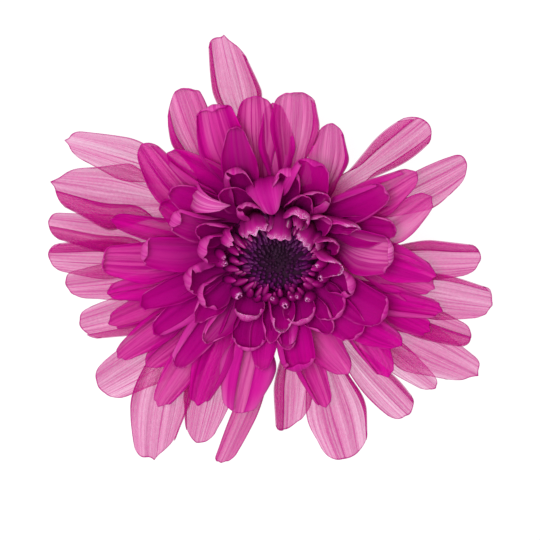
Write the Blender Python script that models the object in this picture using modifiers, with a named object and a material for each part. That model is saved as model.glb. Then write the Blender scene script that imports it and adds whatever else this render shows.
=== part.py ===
"""A preserved chrysanthemum bloom, cut just under its head and standing on the cut.

Units are metres and +Z is up. The origin is the middle of the cut, and the head's axis is Z.
Azimuths are degrees, counter-clockwise from +X, seen from above.
"""

import math
import random
from typing import NamedTuple

import bmesh
import bpy
from mathutils import Matrix, Vector

MM = 0.001
SEED = 11
GOLDEN_ANGLE = 137.508

# Turned outlines: radius and height in mm, down the outer side.
CORE_OUTLINE = [(0.0, 13.6), (8.8, 13.6), (9.6, 12.7), (9.6, 7.5), (8.4, 5.9), (0.0, 5.9)]
DISC_ROOM_OUTLINE = [(0.0, 19.1), (8.6, 18.7), (8.6, 13.0), (0.0, 13.0)]
CALYX_OUTLINE = [
    (0.0, 5.6),
    (9.2, 5.6),
    (9.2, 4.7),
    (7.4, 3.2),
    (5.2, 2.0),
    (4.5, 0.9),
    (4.5, 0.0),
    (0.0, 0.0),
]
ROUND_SIDES = 14

# The disc, in mm: a cushion with a dimple, whose surface the buds sit on.
DISC_RADIUS = 8.3
DISC_RIM = 17.3
DISC_DIMPLE = 15.4
DISC_EDGE_DROP = 1.5
DISC_CREST = 0.78
CUSHION_RADIUS = 7.6
CUSHION_FLOOR = 13.3
CUSHION_SINK = 0.3
CUSHION_STEPS = 5
DISC_BUDS = 60
BUD_SIDES = 5
BUD_RINGS = 3

# A blade: its thickness and the width of its claw in mm, then shares of its length from the root.
BLADE = 0.65
CLAW_WIDTH = 1.9
CLAW_SHARE = 0.26
CLAW_END = 0.66
SHOULDER_START = 0.78
FOLD_START = 0.3
FOLD_FULL = 0.6
MID_CUP_AT = 0.5
TIP_CUP_FROM = 0.6
BOW = 0.2
CURL_INSET = 0.65


class Ring(NamedTuple):
    """How the florets of one ring leave the core and how their blades are bent."""

    root_radius: float
    root_height: float
    stagger: float
    root_rise: float
    tip_rise: float
    root_cup: float
    mid_cup: float
    tip_cup: float
    curl: float
    curl_length: float


class Floret(NamedTuple):
    """One ray floret: where its tip lies, in degrees and mm, and what its blade does."""

    azimuth: float
    reach: float
    height: float
    width: float
    lean: float = 0.0
    point: float = 0.4
    curl: float = 0.0
    fold_left: float = 0.0
    fold_right: float = 0.0
    twist: float = 0.0


# Radii, heights and lengths in mm, angles in degrees. A blade narrower than SLIM gets fewer faces.
SLIM = 5.5
SHORT_CURL = 3.0
OUTER = Ring(8.2, 7.3, 0.8, 10.0, 6.0, 40.0, 26.0, 18.0, 0.0, 0.0)
SECOND = Ring(8.4, 9.0, 0.8, 26.0, 4.0, 40.0, 38.0, 34.0, 25.0, 3.0)
THIRD = Ring(8.6, 10.3, 0.6, 42.0, 12.0, 45.0, 55.0, 52.0, 60.0, 3.0)
INNER = Ring(8.9, 11.3, 0.5, 62.0, 48.0, 50.0, 84.0, 80.0, 75.0, 3.0)
BUDS = Ring(9.1, 12.8, 0.0, 84.0, 98.0, 50.0, 85.0, 85.0, 60.0, 1.6)

OUTER_FLORETS = [
    Floret(150, 49.5, 13.0, 6.8, lean=-22, point=0.9),
    Floret(162, 48.5, 14.0, 10.5, lean=-10, point=0.6, fold_left=60),
    Floret(173, 46.5, 12.5, 7.8, lean=10, fold_left=50),
    Floret(183, 46.5, 11.0, 8.0, lean=14, fold_right=70),
    Floret(193, 43.5, 12.5, 6.8, lean=12),
    Floret(203, 44.0, 11.0, 9.0, lean=20, fold_left=60),
    Floret(221, 48.5, 11.5, 10.5, lean=18),
    Floret(242, 54.0, 13.5, 11.8, lean=-24, point=0.5),
    Floret(251, 47.0, 12.0, 9.0, lean=-18),
    Floret(256, 50.0, 13.5, 5.4, lean=14, twist=35),
    Floret(270, 41.0, 12.5, 8.4, lean=15, fold_left=60, twist=-25),
    Floret(287, 50.0, 12.5, 12.0, lean=6),
    Floret(304, 46.5, 11.0, 9.0, lean=-15),
    Floret(326, 49.5, 12.0, 10.2, lean=-20, point=0.5, fold_left=40),
    Floret(334, 44.5, 13.5, 7.6, lean=-16),
    Floret(344, 46.0, 12.5, 9.2, lean=15, fold_right=40),
    Floret(359, 41.0, 13.0, 7.6, lean=-20),
    Floret(27, 41.5, 14.0, 7.6, lean=-15),
    Floret(45.5, 42.0, 15.5, 9.4, fold_left=60),
    Floret(101.5, 48.5, 14.0, 9.4, lean=4, point=0.7, fold_right=40),
]
SECOND_FLORETS = [
    Floret(138, 36.0, 17.0, 7.2, lean=25),
    Floret(131, 31.5, 18.5, 6.6, lean=-15, fold_right=70),
    Floret(118, 42.0, 17.0, 8.2, lean=25, curl=60),
    Floret(111, 37.5, 19.0, 7.4, lean=14, curl=80),
    Floret(98, 36.5, 17.0, 6.8, lean=8),
    Floret(84.5, 37.0, 18.0, 8.2, lean=-6, curl=40),
    Floret(71, 33.0, 17.0, 7.2, lean=-24),
    Floret(35, 33.0, 18.0, 5.8, fold_left=60),
    Floret(23, 34.0, 17.0, 6.6, lean=-25),
    Floret(165, 33.5, 17.5, 5.4, lean=5),
    Floret(181, 35.5, 16.5, 7.4, lean=8, curl=60),
    Floret(194, 34.5, 15.5, 5.8, lean=7),
    Floret(215, 39.0, 15.0, 6.0, lean=-4),
    Floret(234, 41.5, 15.0, 6.6, lean=-6),
    Floret(243, 36.0, 17.0, 8.2, lean=-12, fold_left=50),
    Floret(258, 35.0, 16.0, 9.8, lean=-3),
    Floret(286, 35.0, 15.0, 5.6, lean=-8),
    Floret(299, 28.5, 17.5, 7.8, lean=-12),
    Floret(311, 35.0, 15.0, 6.8, lean=20),
    Floret(322, 31.0, 17.0, 6.4, lean=-15),
    Floret(339, 35.0, 15.0, 5.8, lean=-15),
    Floret(354, 31.5, 16.5, 6.0, lean=15),
]
THIRD_FLORETS = [
    Floret(106, 31.5, 20.0, 6.4, lean=14),
    Floret(72, 25.6, 21.5, 7.4, fold_left=60, curl=40),
    Floret(32, 26.5, 21.0, 6.6, lean=14),
    Floret(19, 24.5, 19.5, 6.2, lean=12),
    Floret(5, 24.0, 20.5, 8.6, lean=8),
    Floret(333, 25.5, 19.5, 7.6, lean=-3),
    Floret(316, 24.5, 18.5, 6.4),
    Floret(198, 29.0, 19.0, 5.8, fold_left=40),
    Floret(173, 27.5, 20.0, 5.8, lean=5, curl=40),
    Floret(152, 24.5, 21.0, 6.4, curl=50),
    Floret(212, 29.5, 18.0, 5.4, lean=-4),
    Floret(228, 31.0, 18.5, 5.4, lean=-7),
    Floret(281, 24.5, 20.0, 5.4),
    Floret(265, 27.0, 18.5, 5.2, lean=-3),
]
INNER_FLORETS = [
    Floret(137, 23.0, 22.5, 6.8, lean=-18, fold_left=60),
    Floret(112, 24.0, 22.0, 5.4, lean=10, fold_left=50),
    Floret(98, 21.5, 23.0, 7.2),
    Floret(84, 22.0, 22.0, 4.8),
    Floret(62, 19.5, 23.0, 5.6, lean=6, fold_right=50),
    Floret(32, 19.0, 22.5, 4.4, lean=18, twist=50),
    Floret(73, 14.5, 24.0, 4.4),
    Floret(117, 17.5, 24.0, 4.8),
    Floret(163, 17.5, 23.0, 5.4),
    Floret(187, 19.5, 22.0, 5.8, lean=12, fold_right=40),
    Floret(203, 17.0, 22.0, 5.8, lean=6),
    Floret(229, 23.0, 20.5, 5.4, lean=5, fold_right=60),
    Floret(242, 13.0, 21.5, 5.4, lean=-6),
    Floret(253, 21.0, 20.5, 6.2, lean=-8),
    Floret(271, 13.5, 22.5, 4.8),
    Floret(293, 14.0, 22.5, 5.4),
    Floret(276, 18.0, 20.5, 5.0, lean=-4, fold_left=50),
    Floret(319, 17.5, 21.5, 6.6),
    Floret(344, 17.0, 22.0, 6.2, lean=-10, fold_right=30),
    Floret(5, 14.0, 23.0, 5.0, lean=-6),
    Floret(26, 14.0, 23.0, 3.8, lean=-8),
]
BUD_FLORETS = [
    Floret(120, 11.0, 24.5, 4.2, curl=70),
    Floret(88, 10.6, 24.5, 4.2, curl=75),
    Floret(52, 11.0, 24.0, 3.8, curl=70),
    Floret(143, 12.0, 23.5, 3.4, curl=50),
    Floret(161, 10.8, 21.5, 3.0),
    Floret(180, 11.8, 22.0, 3.4),
    Floret(219, 11.4, 20.0, 3.2),
    Floret(200, 10.8, 19.5, 2.8),
    Floret(249, 10.4, 19.5, 2.8),
    Floret(266, 10.8, 20.5, 3.0),
    Floret(281, 11.4, 20.0, 2.8),
    Floret(298, 10.6, 20.5, 2.8),
    Floret(312, 11.6, 20.0, 2.8),
    Floret(339, 11.2, 21.0, 3.2),
    Floret(2, 10.8, 21.5, 3.0),
    Floret(26, 10.6, 21.0, 2.8),
]

# Green bracts under the head, one row over the other. Root and tip are radius, height in mm.
BRACT_ROWS = [
    (10, (4.3, 1.1), (8.6, 2.3), 4.2, 9.0),
    (12, (5.7, 2.3), (11.4, 4.0), 4.6, 1.0),
    (14, (7.5, 3.8), (14.0, 5.9), 4.8, 5.0),
]


def material(name, colour, roughness):
    """A plain finish: colour is linear red, green, blue."""
    made = bpy.data.materials.new(name)
    made.use_nodes = True
    shader = made.node_tree.nodes["Principled BSDF"]
    shader.inputs["Base Color"].default_value = (*colour, 1.0)
    shader.inputs["Roughness"].default_value = roughness
    shader.inputs["Metallic"].default_value = 0.0
    return made


def dress(obj, finish):
    """Gives the whole object one finish."""
    obj.data.materials.clear()
    obj.data.materials.append(finish)


def blend(low, high, share):
    """A value between two, easing in and out of both."""
    share = min(max(share, 0.0), 1.0)
    return low + (high - low) * share * share * (3.0 - 2.0 * share)


def polar(radius, azimuth, height=0.0):
    """The point at a radius and azimuth (degrees) round the axis."""
    angle = math.radians(azimuth)
    return Vector((radius * math.cos(angle), radius * math.sin(angle), height))


class Spine:
    """A blade's middle line, from its root to its tip, with a short curl past the reach."""

    def __init__(self, root, tip, lean, root_rise, tip_rise, curl, curl_length):
        root_radius, root_height = root
        azimuth, reach, height = tip
        self.curl = math.radians(curl)
        self.curl_length = curl_length
        rise = math.radians(tip_rise)
        reach -= CURL_INSET * curl_length * math.cos(rise)
        height -= CURL_INSET * curl_length * math.sin(rise)
        self.root = polar(root_radius, azimuth + lean, root_height)
        self.tip = polar(reach, azimuth, height)
        span = (self.tip - self.root).length
        self.length = span * 1.05 + curl_length
        self.root_azimuth = azimuth + BOW * lean
        bend = self.root + polar(0.45 * (reach - root_radius), self.root_azimuth)
        heading = (self.tip - bend).xy
        self.tip_azimuth = math.degrees(math.atan2(heading.y, heading.x))
        self.end = self.rising(self.tip_azimuth, tip_rise)
        self.side = polar(1.0, self.tip_azimuth + 90.0)
        self.control = [
            self.root,
            self.root + self.rising(self.root_azimuth, root_rise) * span * 0.38,
            self.tip - self.end * span * 0.38,
            self.tip,
        ]

    @staticmethod
    def rising(azimuth, rise):
        """The unit direction that heads out at an azimuth and climbs at an angle."""
        angle = math.radians(rise)
        return polar(math.cos(angle), azimuth, math.sin(angle))

    def at(self, share):
        """The point and the direction at a share of the length, 0 to 1."""
        straight = 1.0 - self.curl_length / self.length
        if share <= straight:
            t = share / straight
            a, b, c, d = self.control
            point = a * (1 - t) ** 3 + b * 3 * t * (1 - t) ** 2 + c * 3 * t * t * (1 - t) + d * t**3
            way = (b - a) * (1 - t) ** 2 + (c - b) * 2 * t * (1 - t) + (d - c) * t * t
            return point, way.normalized()
        part = (share - straight) / (1.0 - straight)
        angle = self.curl * part
        up = self.end.cross(self.side)
        if self.curl < 1e-3:
            return self.tip + self.end * self.curl_length * part, self.end
        radius = self.curl_length / self.curl
        point = self.tip + self.end * radius * math.sin(angle) + up * radius * (1 - math.cos(angle))
        return point, self.end * math.cos(angle) + up * math.sin(angle)

    def frame(self, share, twist):
        """The point, the sideways direction and the upper side's direction there."""
        point, way = self.at(share)
        turn = (self.tip_azimuth - self.root_azimuth + 180.0) % 360.0 - 180.0
        heading = self.root_azimuth + turn * min(share * 1.4, 1.0)
        side = polar(1.0, heading + 90.0)
        side = (side - way * side.dot(way)).normalized()
        up = way.cross(side)
        angle = math.radians(twist) * blend(0.0, 1.0, share)
        return (
            point,
            side * math.cos(angle) + up * math.sin(angle),
            up * math.cos(angle) - side * math.sin(angle),
        )


def section(half, cup, left, right, across):
    """Points of a blade's cross-section, bent up by cup each way and more at the folded margins."""
    steps = 12
    points = [(0.0, 0.0)] * (across + 1)
    middle = across / 2.0
    for side, fold in ((1, left), (-1, right)):
        x = z = 0.0
        for step in range(1, steps + 1):
            share = (step - 0.5) / steps
            angle = cup * share + blend(0.0, fold, (share - 0.6) / 0.3)
            x += half / steps * math.cos(angle)
            z += half / steps * math.sin(angle)
            place = middle + side * middle * step / steps
            if abs(place - round(place)) < 1e-6:
                points[round(place)] = (side * x, z)
    return points


def blade(name, spine, width, cups, along, across, claw=None, point=0.4, folds=(0.0, 0.0), twist=0.0):
    """A petal or bract: a cupped sheet along a spine, thickened, as its own object."""
    claw = claw or max(CLAW_SHARE, CLAW_WIDTH * MM / width)
    root_cup, mid_cup, tip_cup = (math.radians(angle) for angle in cups)
    left, right = (math.radians(angle) for angle in folds)
    shoulder = 0.95 - 0.45 * point
    shortening = (0.22 + 0.4 * point) * width / spine.length
    places = []
    for i in range(along + 1):
        share = i / along
        cup = blend(root_cup, mid_cup, share / MID_CUP_AT)
        if share > TIP_CUP_FROM:
            cup = blend(mid_cup, tip_cup, (share - TIP_CUP_FROM) / (1.0 - TIP_CUP_FROM))
        spread = cup / math.sin(min(cup, math.pi / 2)) if cup > 0.01 else 1.0
        girth = blend(claw, 1.0, share / CLAW_END)
        if share > SHOULDER_START:
            past = (share - SHOULDER_START) / (1.0 - SHOULDER_START)
            girth = 1.0 - (1.0 - shoulder) * past**2
        half = width / 2 * min(spread, 2.0) * girth
        opening = blend(0.0, 1.0, (share - FOLD_START) / (FOLD_FULL - FOLD_START))
        row = section(half, cup, left * opening, right * opening, across)
        for j, (x, z) in enumerate(row):
            edge = abs(2.0 * j / across - 1.0)
            back = shortening * edge**2 * blend(0.0, 1.0, (share - 0.5) / 0.5)
            centre, side, up = spine.frame(share - back, twist)
            places.append(centre + side * x + up * z)
    mesh = bpy.data.meshes.new(name)
    faces = []
    for i in range(along):
        for j in range(across):
            a = i * (across + 1) + j
            b = a + across + 1
            if j < across / 2:
                faces += [(a, a + 1, b + 1), (a, b + 1, b)]
            else:
                faces += [(a, a + 1, b), (a + 1, b + 1, b)]
    mesh.from_pydata(places, [], faces)
    sheet = bpy.data.objects.new(name, mesh)
    bpy.context.scene.collection.objects.link(sheet)
    solid = sheet.modifiers.new("Thickness", "SOLIDIFY")
    solid.thickness = BLADE * MM
    solid.offset = 0.0
    return applied(sheet)


def applied(obj):
    """The object with its modifiers made part of its mesh."""
    graph = bpy.context.evaluated_depsgraph_get()
    mesh = bpy.data.meshes.new_from_object(obj.evaluated_get(graph))
    old = obj.data
    obj.modifiers.clear()
    obj.data = mesh
    bpy.data.meshes.remove(old)
    return obj


def turned(name, outline):
    """A solid of revolution from an outline of (radius, height) in mm, down its outer side."""
    mesh = bpy.data.meshes.new(name)
    points = [(radius * MM, 0.0, height * MM) for radius, height in outline]
    mesh.from_pydata(points, [(i, i + 1) for i in range(len(points) - 1)], [])
    obj = bpy.data.objects.new(name, mesh)
    bpy.context.scene.collection.objects.link(obj)
    screw = obj.modifiers.new("Turn", "SCREW")
    screw.axis = "Z"
    screw.steps = ROUND_SIDES
    screw.render_steps = ROUND_SIDES
    screw.use_merge_vertices = True
    screw.merge_threshold = 0.00001
    return applied(obj)


def fused(obj, pieces, operation="UNION"):
    """One body of an object and loose pieces, with any sealed hollow filled and scraps dropped."""
    group = bpy.data.collections.new(obj.name + "_pieces")
    bpy.context.scene.collection.children.link(group)
    for piece in pieces:
        bpy.context.scene.collection.objects.unlink(piece)
        group.objects.link(piece)
    join = obj.modifiers.new("Join", "BOOLEAN")
    join.operation = operation
    join.operand_type = "COLLECTION"
    join.collection = group
    join.solver = "MANIFOLD"
    applied(obj)
    for piece in pieces:
        bpy.data.objects.remove(piece)
    bpy.data.collections.remove(group)
    keep_largest_shell(obj.data)
    return obj


def keep_largest_shell(mesh):
    """Drops every closed surface but the largest: a hollow's walls inside it, or a scrap."""
    work = bmesh.new()
    work.from_mesh(mesh)
    left = set(work.verts)
    shells = []
    while left:
        reached = [left.pop()]
        shell = set(reached)
        while reached:
            for edge in reached.pop().link_edges:
                for vertex in edge.verts:
                    if vertex not in shell:
                        shell.add(vertex)
                        reached.append(vertex)
        left -= shell
        shells.append(shell)
    largest = max(shells, key=len)
    bmesh.ops.delete(work, geom=[v for v in work.verts if v not in largest], context="VERTS")
    work.to_mesh(mesh)
    work.free()


def ray_florets(finish):
    """The core of the head with every ray floret rooted in it, and a seat for the disc."""
    core = turned("ray_florets", CORE_OUTLINE)
    rings = [
        (OUTER, OUTER_FLORETS, 4),
        (SECOND, SECOND_FLORETS, 4),
        (THIRD, THIRD_FLORETS, 4),
        (INNER, INNER_FLORETS, 4),
        (BUDS, BUD_FLORETS, 3),
    ]
    pieces = []
    for ring, florets, along in rings:
        for count, floret in enumerate(sorted(florets)):
            height = ring.root_height + ring.stagger * (count % 2 - 0.5)
            spine = Spine(
                (ring.root_radius * MM, height * MM),
                (floret.azimuth, floret.reach * MM, floret.height * MM),
                floret.lean,
                ring.root_rise,
                ring.tip_rise,
                ring.curl + floret.curl,
                max(ring.curl_length, SHORT_CURL if floret.curl else 0.0) * MM,
            )
            pieces.append(
                blade(
                    f"ray_{len(pieces)}",
                    spine,
                    floret.width * MM,
                    (ring.root_cup, ring.mid_cup, ring.tip_cup),
                    along,
                    2 if floret.width < SLIM else 3,
                    point=floret.point,
                    folds=(floret.fold_left, floret.fold_right),
                    twist=floret.twist,
                )
            )
    fused(core, pieces)
    fused(core, [turned("disc_room", DISC_ROOM_OUTLINE)], "DIFFERENCE")
    dress(core, finish)
    return core


def disc_height(radius):
    """Height of the disc's own surface in mm: a dimple in the middle, highest near the rim."""
    share = radius / DISC_RADIUS
    if share < DISC_CREST:
        return blend(DISC_DIMPLE, DISC_RIM, share / DISC_CREST)
    return blend(DISC_RIM, DISC_RIM - DISC_EDGE_DROP, (share - DISC_CREST) / (1.0 - DISC_CREST))


def disc_florets(finish):
    """The dark disc: a dimpled cushion covered with bud-shaped florets."""
    radii = [CUSHION_RADIUS * i / CUSHION_STEPS for i in range(CUSHION_STEPS + 1)]
    outline = [(radius, disc_height(radius) - CUSHION_SINK) for radius in radii]
    disc = turned("disc_florets", outline + [(CUSHION_RADIUS, CUSHION_FLOOR), (0.0, CUSHION_FLOOR)])
    draw = random.Random(SEED)
    buds = []
    for count in range(DISC_BUDS):
        share = math.sqrt((count + 0.5) / DISC_BUDS)
        radius = (DISC_RADIUS - 0.75) * share
        size = (0.50 + 0.24 * share) * MM
        azimuth = count * GOLDEN_ANGLE
        place = (
            Matrix.Translation(polar(radius * MM, azimuth, (disc_height(radius) + 0.1) * MM))
            @ Matrix.Rotation(math.radians(azimuth), 4, "Z")
            @ Matrix.Rotation(math.radians(8 + 26 * share), 4, "Y")
            @ Matrix.Diagonal((1.0, 1.0, 1.5 + draw.uniform(-0.15, 0.25), 1.0))
        )
        work = bmesh.new()
        bmesh.ops.create_uvsphere(
            work, u_segments=BUD_SIDES, v_segments=BUD_RINGS, radius=size, matrix=place
        )
        mesh = bpy.data.meshes.new(f"bud_{count}")
        work.to_mesh(mesh)
        work.free()
        bud = bpy.data.objects.new(f"bud_{count}", mesh)
        bpy.context.scene.collection.objects.link(bud)
        buds.append(bud)
    fused(disc, buds)
    dress(disc, finish)
    return disc


def calyx(finish):
    """The green underside: cut stalk, receptacle and overlapping bracts."""
    body = turned("calyx", CALYX_OUTLINE)
    bracts = []
    for count, root, tip, width, turn in BRACT_ROWS:
        rise = math.degrees(math.atan2(tip[1] - root[1], tip[0] - root[0]))
        for i in range(count):
            azimuth = turn + 360.0 * i / count
            spine = Spine(
                (root[0] * MM, root[1] * MM),
                (azimuth, tip[0] * MM, tip[1] * MM),
                0.0,
                rise,
                rise,
                0.0,
                0.0,
            )
            bracts.append(
                blade(f"bract_{len(bracts)}", spine, width * MM, (8.0, 9.0, 8.0), 2, 2, claw=0.8, point=0.9)
            )
    fused(body, bracts)
    dress(body, finish)
    return body


def main():
    for obj in list(bpy.data.objects):
        bpy.data.objects.remove(obj)
    petal = material("ray_magenta", (0.50, 0.004, 0.22), 0.5)
    dark = material("disc_purple", (0.03, 0.004, 0.05), 0.6)
    green = material("calyx_green", (0.13, 0.20, 0.05), 0.6)
    bloom = bpy.data.collections.new("chrysanthemum")
    bpy.context.scene.collection.children.link(bloom)
    for obj in (calyx(green), ray_florets(petal), disc_florets(dark)):
        bpy.context.scene.collection.objects.unlink(obj)
        bloom.objects.link(obj)


main()
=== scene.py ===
"""Dresses a preserved chrysanthemum: veined see-through ray florets, a dark disc, a green calyx.

The head's axis is Z and the middle of the cut that it stands on is the origin. Sizes are in mm
where a comment or a docstring says so and in metres elsewhere. Azimuths are in degrees,
counter-clockwise from +X, seen from above.
"""

from __future__ import annotations

import logging
import math
import random
from dataclasses import dataclass, field, replace
from enum import Enum
from typing import Union

import bpy
import numpy as np
from mathutils import Matrix, Vector

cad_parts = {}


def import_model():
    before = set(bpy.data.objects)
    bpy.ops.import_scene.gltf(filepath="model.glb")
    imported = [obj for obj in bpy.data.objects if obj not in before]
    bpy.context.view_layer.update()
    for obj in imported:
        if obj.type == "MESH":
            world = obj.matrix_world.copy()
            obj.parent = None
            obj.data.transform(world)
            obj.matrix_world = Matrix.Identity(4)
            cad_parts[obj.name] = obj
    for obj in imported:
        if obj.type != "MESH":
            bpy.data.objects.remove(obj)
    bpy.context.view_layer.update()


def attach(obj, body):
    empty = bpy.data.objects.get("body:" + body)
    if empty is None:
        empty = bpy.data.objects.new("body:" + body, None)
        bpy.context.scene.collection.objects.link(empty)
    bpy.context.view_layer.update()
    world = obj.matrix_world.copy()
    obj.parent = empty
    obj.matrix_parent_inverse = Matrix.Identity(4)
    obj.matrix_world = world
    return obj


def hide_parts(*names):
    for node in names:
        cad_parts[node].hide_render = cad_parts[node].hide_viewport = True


log = logging.getLogger("chrysanthemum")

MM = 0.001
GOLDEN_ANGLE = 137.508

# How a blade's margin folds in: the steps that half a cross-section is worked out in, where
# along the blade the fold starts and how soon it is full, and the folds, in degrees, from
# which it starts to hide part of the blade and by which it hides all of its band.
FOLD_STEPS = 40
FOLD_START = 0.3
FOLD_RUN = 0.3
HIDING_FOLD = 60.0
HIDDEN_FOLD = 150.0

# A station is a radius and a height, and a face's corners are the numbers of its points.
Colour = tuple[float, float, float]
Station = tuple[float, float]
Corners = tuple[int, ...]
Term = Union["Signal", float]


class Face(Enum):
    """The two faces of a ray floret's blade, numbered as its material slots."""

    INSIDE = 0
    OUTSIDE = 1


def srgb(red: int, green: int, blue: int) -> Colour:
    """The linear colour of an sRGB one.

    Args:
        red: its red, 0 to 255.
        green: its green.
        blue: its blue.

    Returns:
        The colour.
    """
    parts = []
    for byte in (red, green, blue):
        value = byte / 255.0
        parts.append(value / 12.92 if value <= 0.04045 else ((value + 0.055) / 1.055) ** 2.4)
    return (parts[0], parts[1], parts[2])


def ease(low: float, high: float, share: float) -> float:
    """A value between two, easing in and out of both."""
    share = min(max(share, 0.0), 1.0)
    return low + (high - low) * share * share * (3.0 - 2.0 * share)


def smooth(shares: np.ndarray) -> np.ndarray:
    """Shares held between 0 and 1, easing in and out of both."""
    held = np.clip(shares, 0.0, 1.0)
    return held * held * (3.0 - 2.0 * held)


def polar(radius: float, azimuth: float, height: float = 0.0) -> Vector:
    """The point at a radius and azimuth (degrees) round the axis."""
    angle = math.radians(azimuth)
    return Vector((radius * math.cos(angle), radius * math.sin(angle), height))


def rising(azimuth: float, rise: float) -> Vector:
    """The unit direction that heads out at an azimuth and climbs at an angle, both in degrees."""
    angle = math.radians(rise)
    return polar(math.cos(angle), azimuth, math.sin(angle))


@dataclass(frozen=True)
class Signal:
    """A socket whose value can be used in sums. Each sum adds its own Math node."""

    tree: bpy.types.NodeTree
    socket: bpy.types.NodeSocket

    def math(self, operation: str, *terms: Term) -> Signal:
        """Runs one Math node.

        Args:
            operation: the node's operation.
            terms: its inputs, in order.

        Returns:
            The node's result.
        """
        node = self.tree.nodes.new("ShaderNodeMath")
        node.operation = operation
        for place, term in zip(node.inputs, terms):
            if isinstance(term, Signal):
                self.tree.links.new(term.socket, place)
            else:
                place.default_value = term
        return Signal(self.tree, node.outputs[0])

    def __add__(self, other: Term) -> Signal:
        """Self plus other."""
        return self.math("ADD", self, other)

    def __radd__(self, other: Term) -> Signal:
        """Other plus self."""
        return self.math("ADD", other, self)

    def __sub__(self, other: Term) -> Signal:
        """Self less other."""
        return self.math("SUBTRACT", self, other)

    def __rsub__(self, other: Term) -> Signal:
        """Other less self."""
        return self.math("SUBTRACT", other, self)

    def __mul__(self, other: Term) -> Signal:
        """Self times other."""
        return self.math("MULTIPLY", self, other)

    def __rmul__(self, other: Term) -> Signal:
        """Other times self."""
        return self.math("MULTIPLY", other, self)

    def __truediv__(self, other: Term) -> Signal:
        """Self divided by other."""
        return self.math("DIVIDE", self, other)

    def __rtruediv__(self, other: Term) -> Signal:
        """Other divided by self."""
        return self.math("DIVIDE", other, self)

    def __pow__(self, power: Term) -> Signal:
        """Self to a power."""
        return self.math("POWER", self, power)

    def __rpow__(self, base: Term) -> Signal:
        """A base to the power of self."""
        return self.math("POWER", base, self)

    def __abs__(self) -> Signal:
        """Self without its sign."""
        return self.math("ABSOLUTE", self)

    def cosine(self) -> Signal:
        """The cosine of self, in radians."""
        return self.math("COSINE", self)

    def held(self) -> Signal:
        """Self, kept between 0 and 1."""
        lowest = self.math("MAXIMUM", self, 0.0)
        return self.math("MINIMUM", lowest, 1.0)

    def stepped(self, low: float, high: float) -> Signal:
        """0 below low, 1 above high (or the other way round), and smooth between them."""
        return Graph(self.tree).node(
            "ShaderNodeMapRange",
            {"interpolation_type": "SMOOTHSTEP"},
            {"Value": self, "From Min": low, "From Max": high},
        )


@dataclass(frozen=True)
class Graph:
    """A material's node tree, with one way to add a node."""

    tree: bpy.types.NodeTree

    @classmethod
    def of_material(cls, name: str) -> tuple[bpy.types.Material, Graph]:
        """Starts a material.

        Args:
            name: the material's name.

        Returns:
            The material, its tree empty, and its graph.
        """
        material = bpy.data.materials.new(name)
        material.use_nodes = True
        material.node_tree.nodes.clear()
        return material, cls(material.node_tree)

    def node(
        self,
        kind: str,
        settings: dict[str, object] | None = None,
        sockets: dict[str | int, object] | None = None,
        output: str | int = 0,
    ) -> Signal:
        """Adds a node.

        Args:
            kind: the node's type.
            settings: its own properties, set first.
            sockets: values or signals for its inputs, by name or number.
            output: the output that is wanted.

        Returns:
            That output.
        """
        node = self.tree.nodes.new(kind)
        for key, value in (settings or {}).items():
            setattr(node, key, value)
        for key, value in (sockets or {}).items():
            if isinstance(value, Signal):
                self.tree.links.new(value.socket, node.inputs[key])
            else:
                node.inputs[key].default_value = value
        return Signal(self.tree, node.outputs[output])

    def attribute(self, name: str) -> Signal:
        """A number that the mesh holds at each of its points."""
        return self.node("ShaderNodeAttribute", {"attribute_name": name}, output="Fac")

    def mix(self, share: Term, low: Signal | Colour, high: Signal | Colour) -> Signal:
        """A colour between two."""
        ends = [end if isinstance(end, Signal) else (*end, 1.0) for end in (low, high)]
        return self.node(
            "ShaderNodeMix",
            {"data_type": "RGBA"},
            {0: share, 6: ends[0], 7: ends[1]},
            output=2,
        )

    def combine(self, x: Term, y: Term, z: Term) -> Signal:
        """A vector of three values."""
        return self.node("ShaderNodeCombineXYZ", sockets={0: x, 1: y, 2: z})

    def noise(self, place: Signal, scale: float, detail: float = 2.0) -> Signal:
        """Soft random values, 0 to 1, over a place."""
        return self.node(
            "ShaderNodeTexNoise",
            sockets={"Vector": place, "Scale": scale, "Detail": detail, "Roughness": 0.55},
        )

    def bump(self, height: Signal, strength: float, depth: float) -> Signal:
        """The normal of a surface that rises and falls by a depth in metres."""
        return self.node(
            "ShaderNodeBump", sockets={"Strength": strength, "Distance": depth, "Height": height}
        )

    def solid(self, colour: Signal, roughness: Signal, normal: Signal, sheen: float) -> Signal:
        """A solid surface. sheen is how much it reflects, the same all over."""
        return self.node(
            "ShaderNodeBsdfPrincipled",
            sockets={
                "Base Color": colour,
                "Roughness": roughness,
                "Normal": normal,
                "Specular IOR Level": sheen,
            },
        )

    def finish(self, surface: Signal) -> None:
        """Ends the tree in a surface."""
        end = self.tree.nodes.new("ShaderNodeOutputMaterial")
        self.tree.links.new(surface.socket, end.inputs["Surface"])


@dataclass(frozen=True)
class Weave:
    """A noise laid over a blade.

    across and along are its waves from side to side and from root to tip, shift sets one floret's
    apart from the next one's, and detail is how fine it goes.
    """

    across: float
    along: float
    shift: float
    detail: float = 2.0


CLOUDS = Weave(across=1.5, along=3.0, shift=53.0)
BANDS = Weave(across=2.2, along=0.8, shift=71.0, detail=0.0)
STREAKS = Weave(across=7.0, along=1.0, shift=37.0)
LINES = Weave(across=17.0, along=1.4, shift=59.0)
THREADS = Weave(across=34.0, along=3.0, shift=91.0)
GRAIN = Weave(across=18.0, along=60.0, shift=13.0, detail=3.0)
SPECKLES = Weave(across=10.0, along=32.0, shift=34.0, detail=4.0)
# Where the painted glints lie on a frosted tip.
GLINTS = Weave(across=28.0, along=80.0, shift=58.0, detail=1.0)


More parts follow.
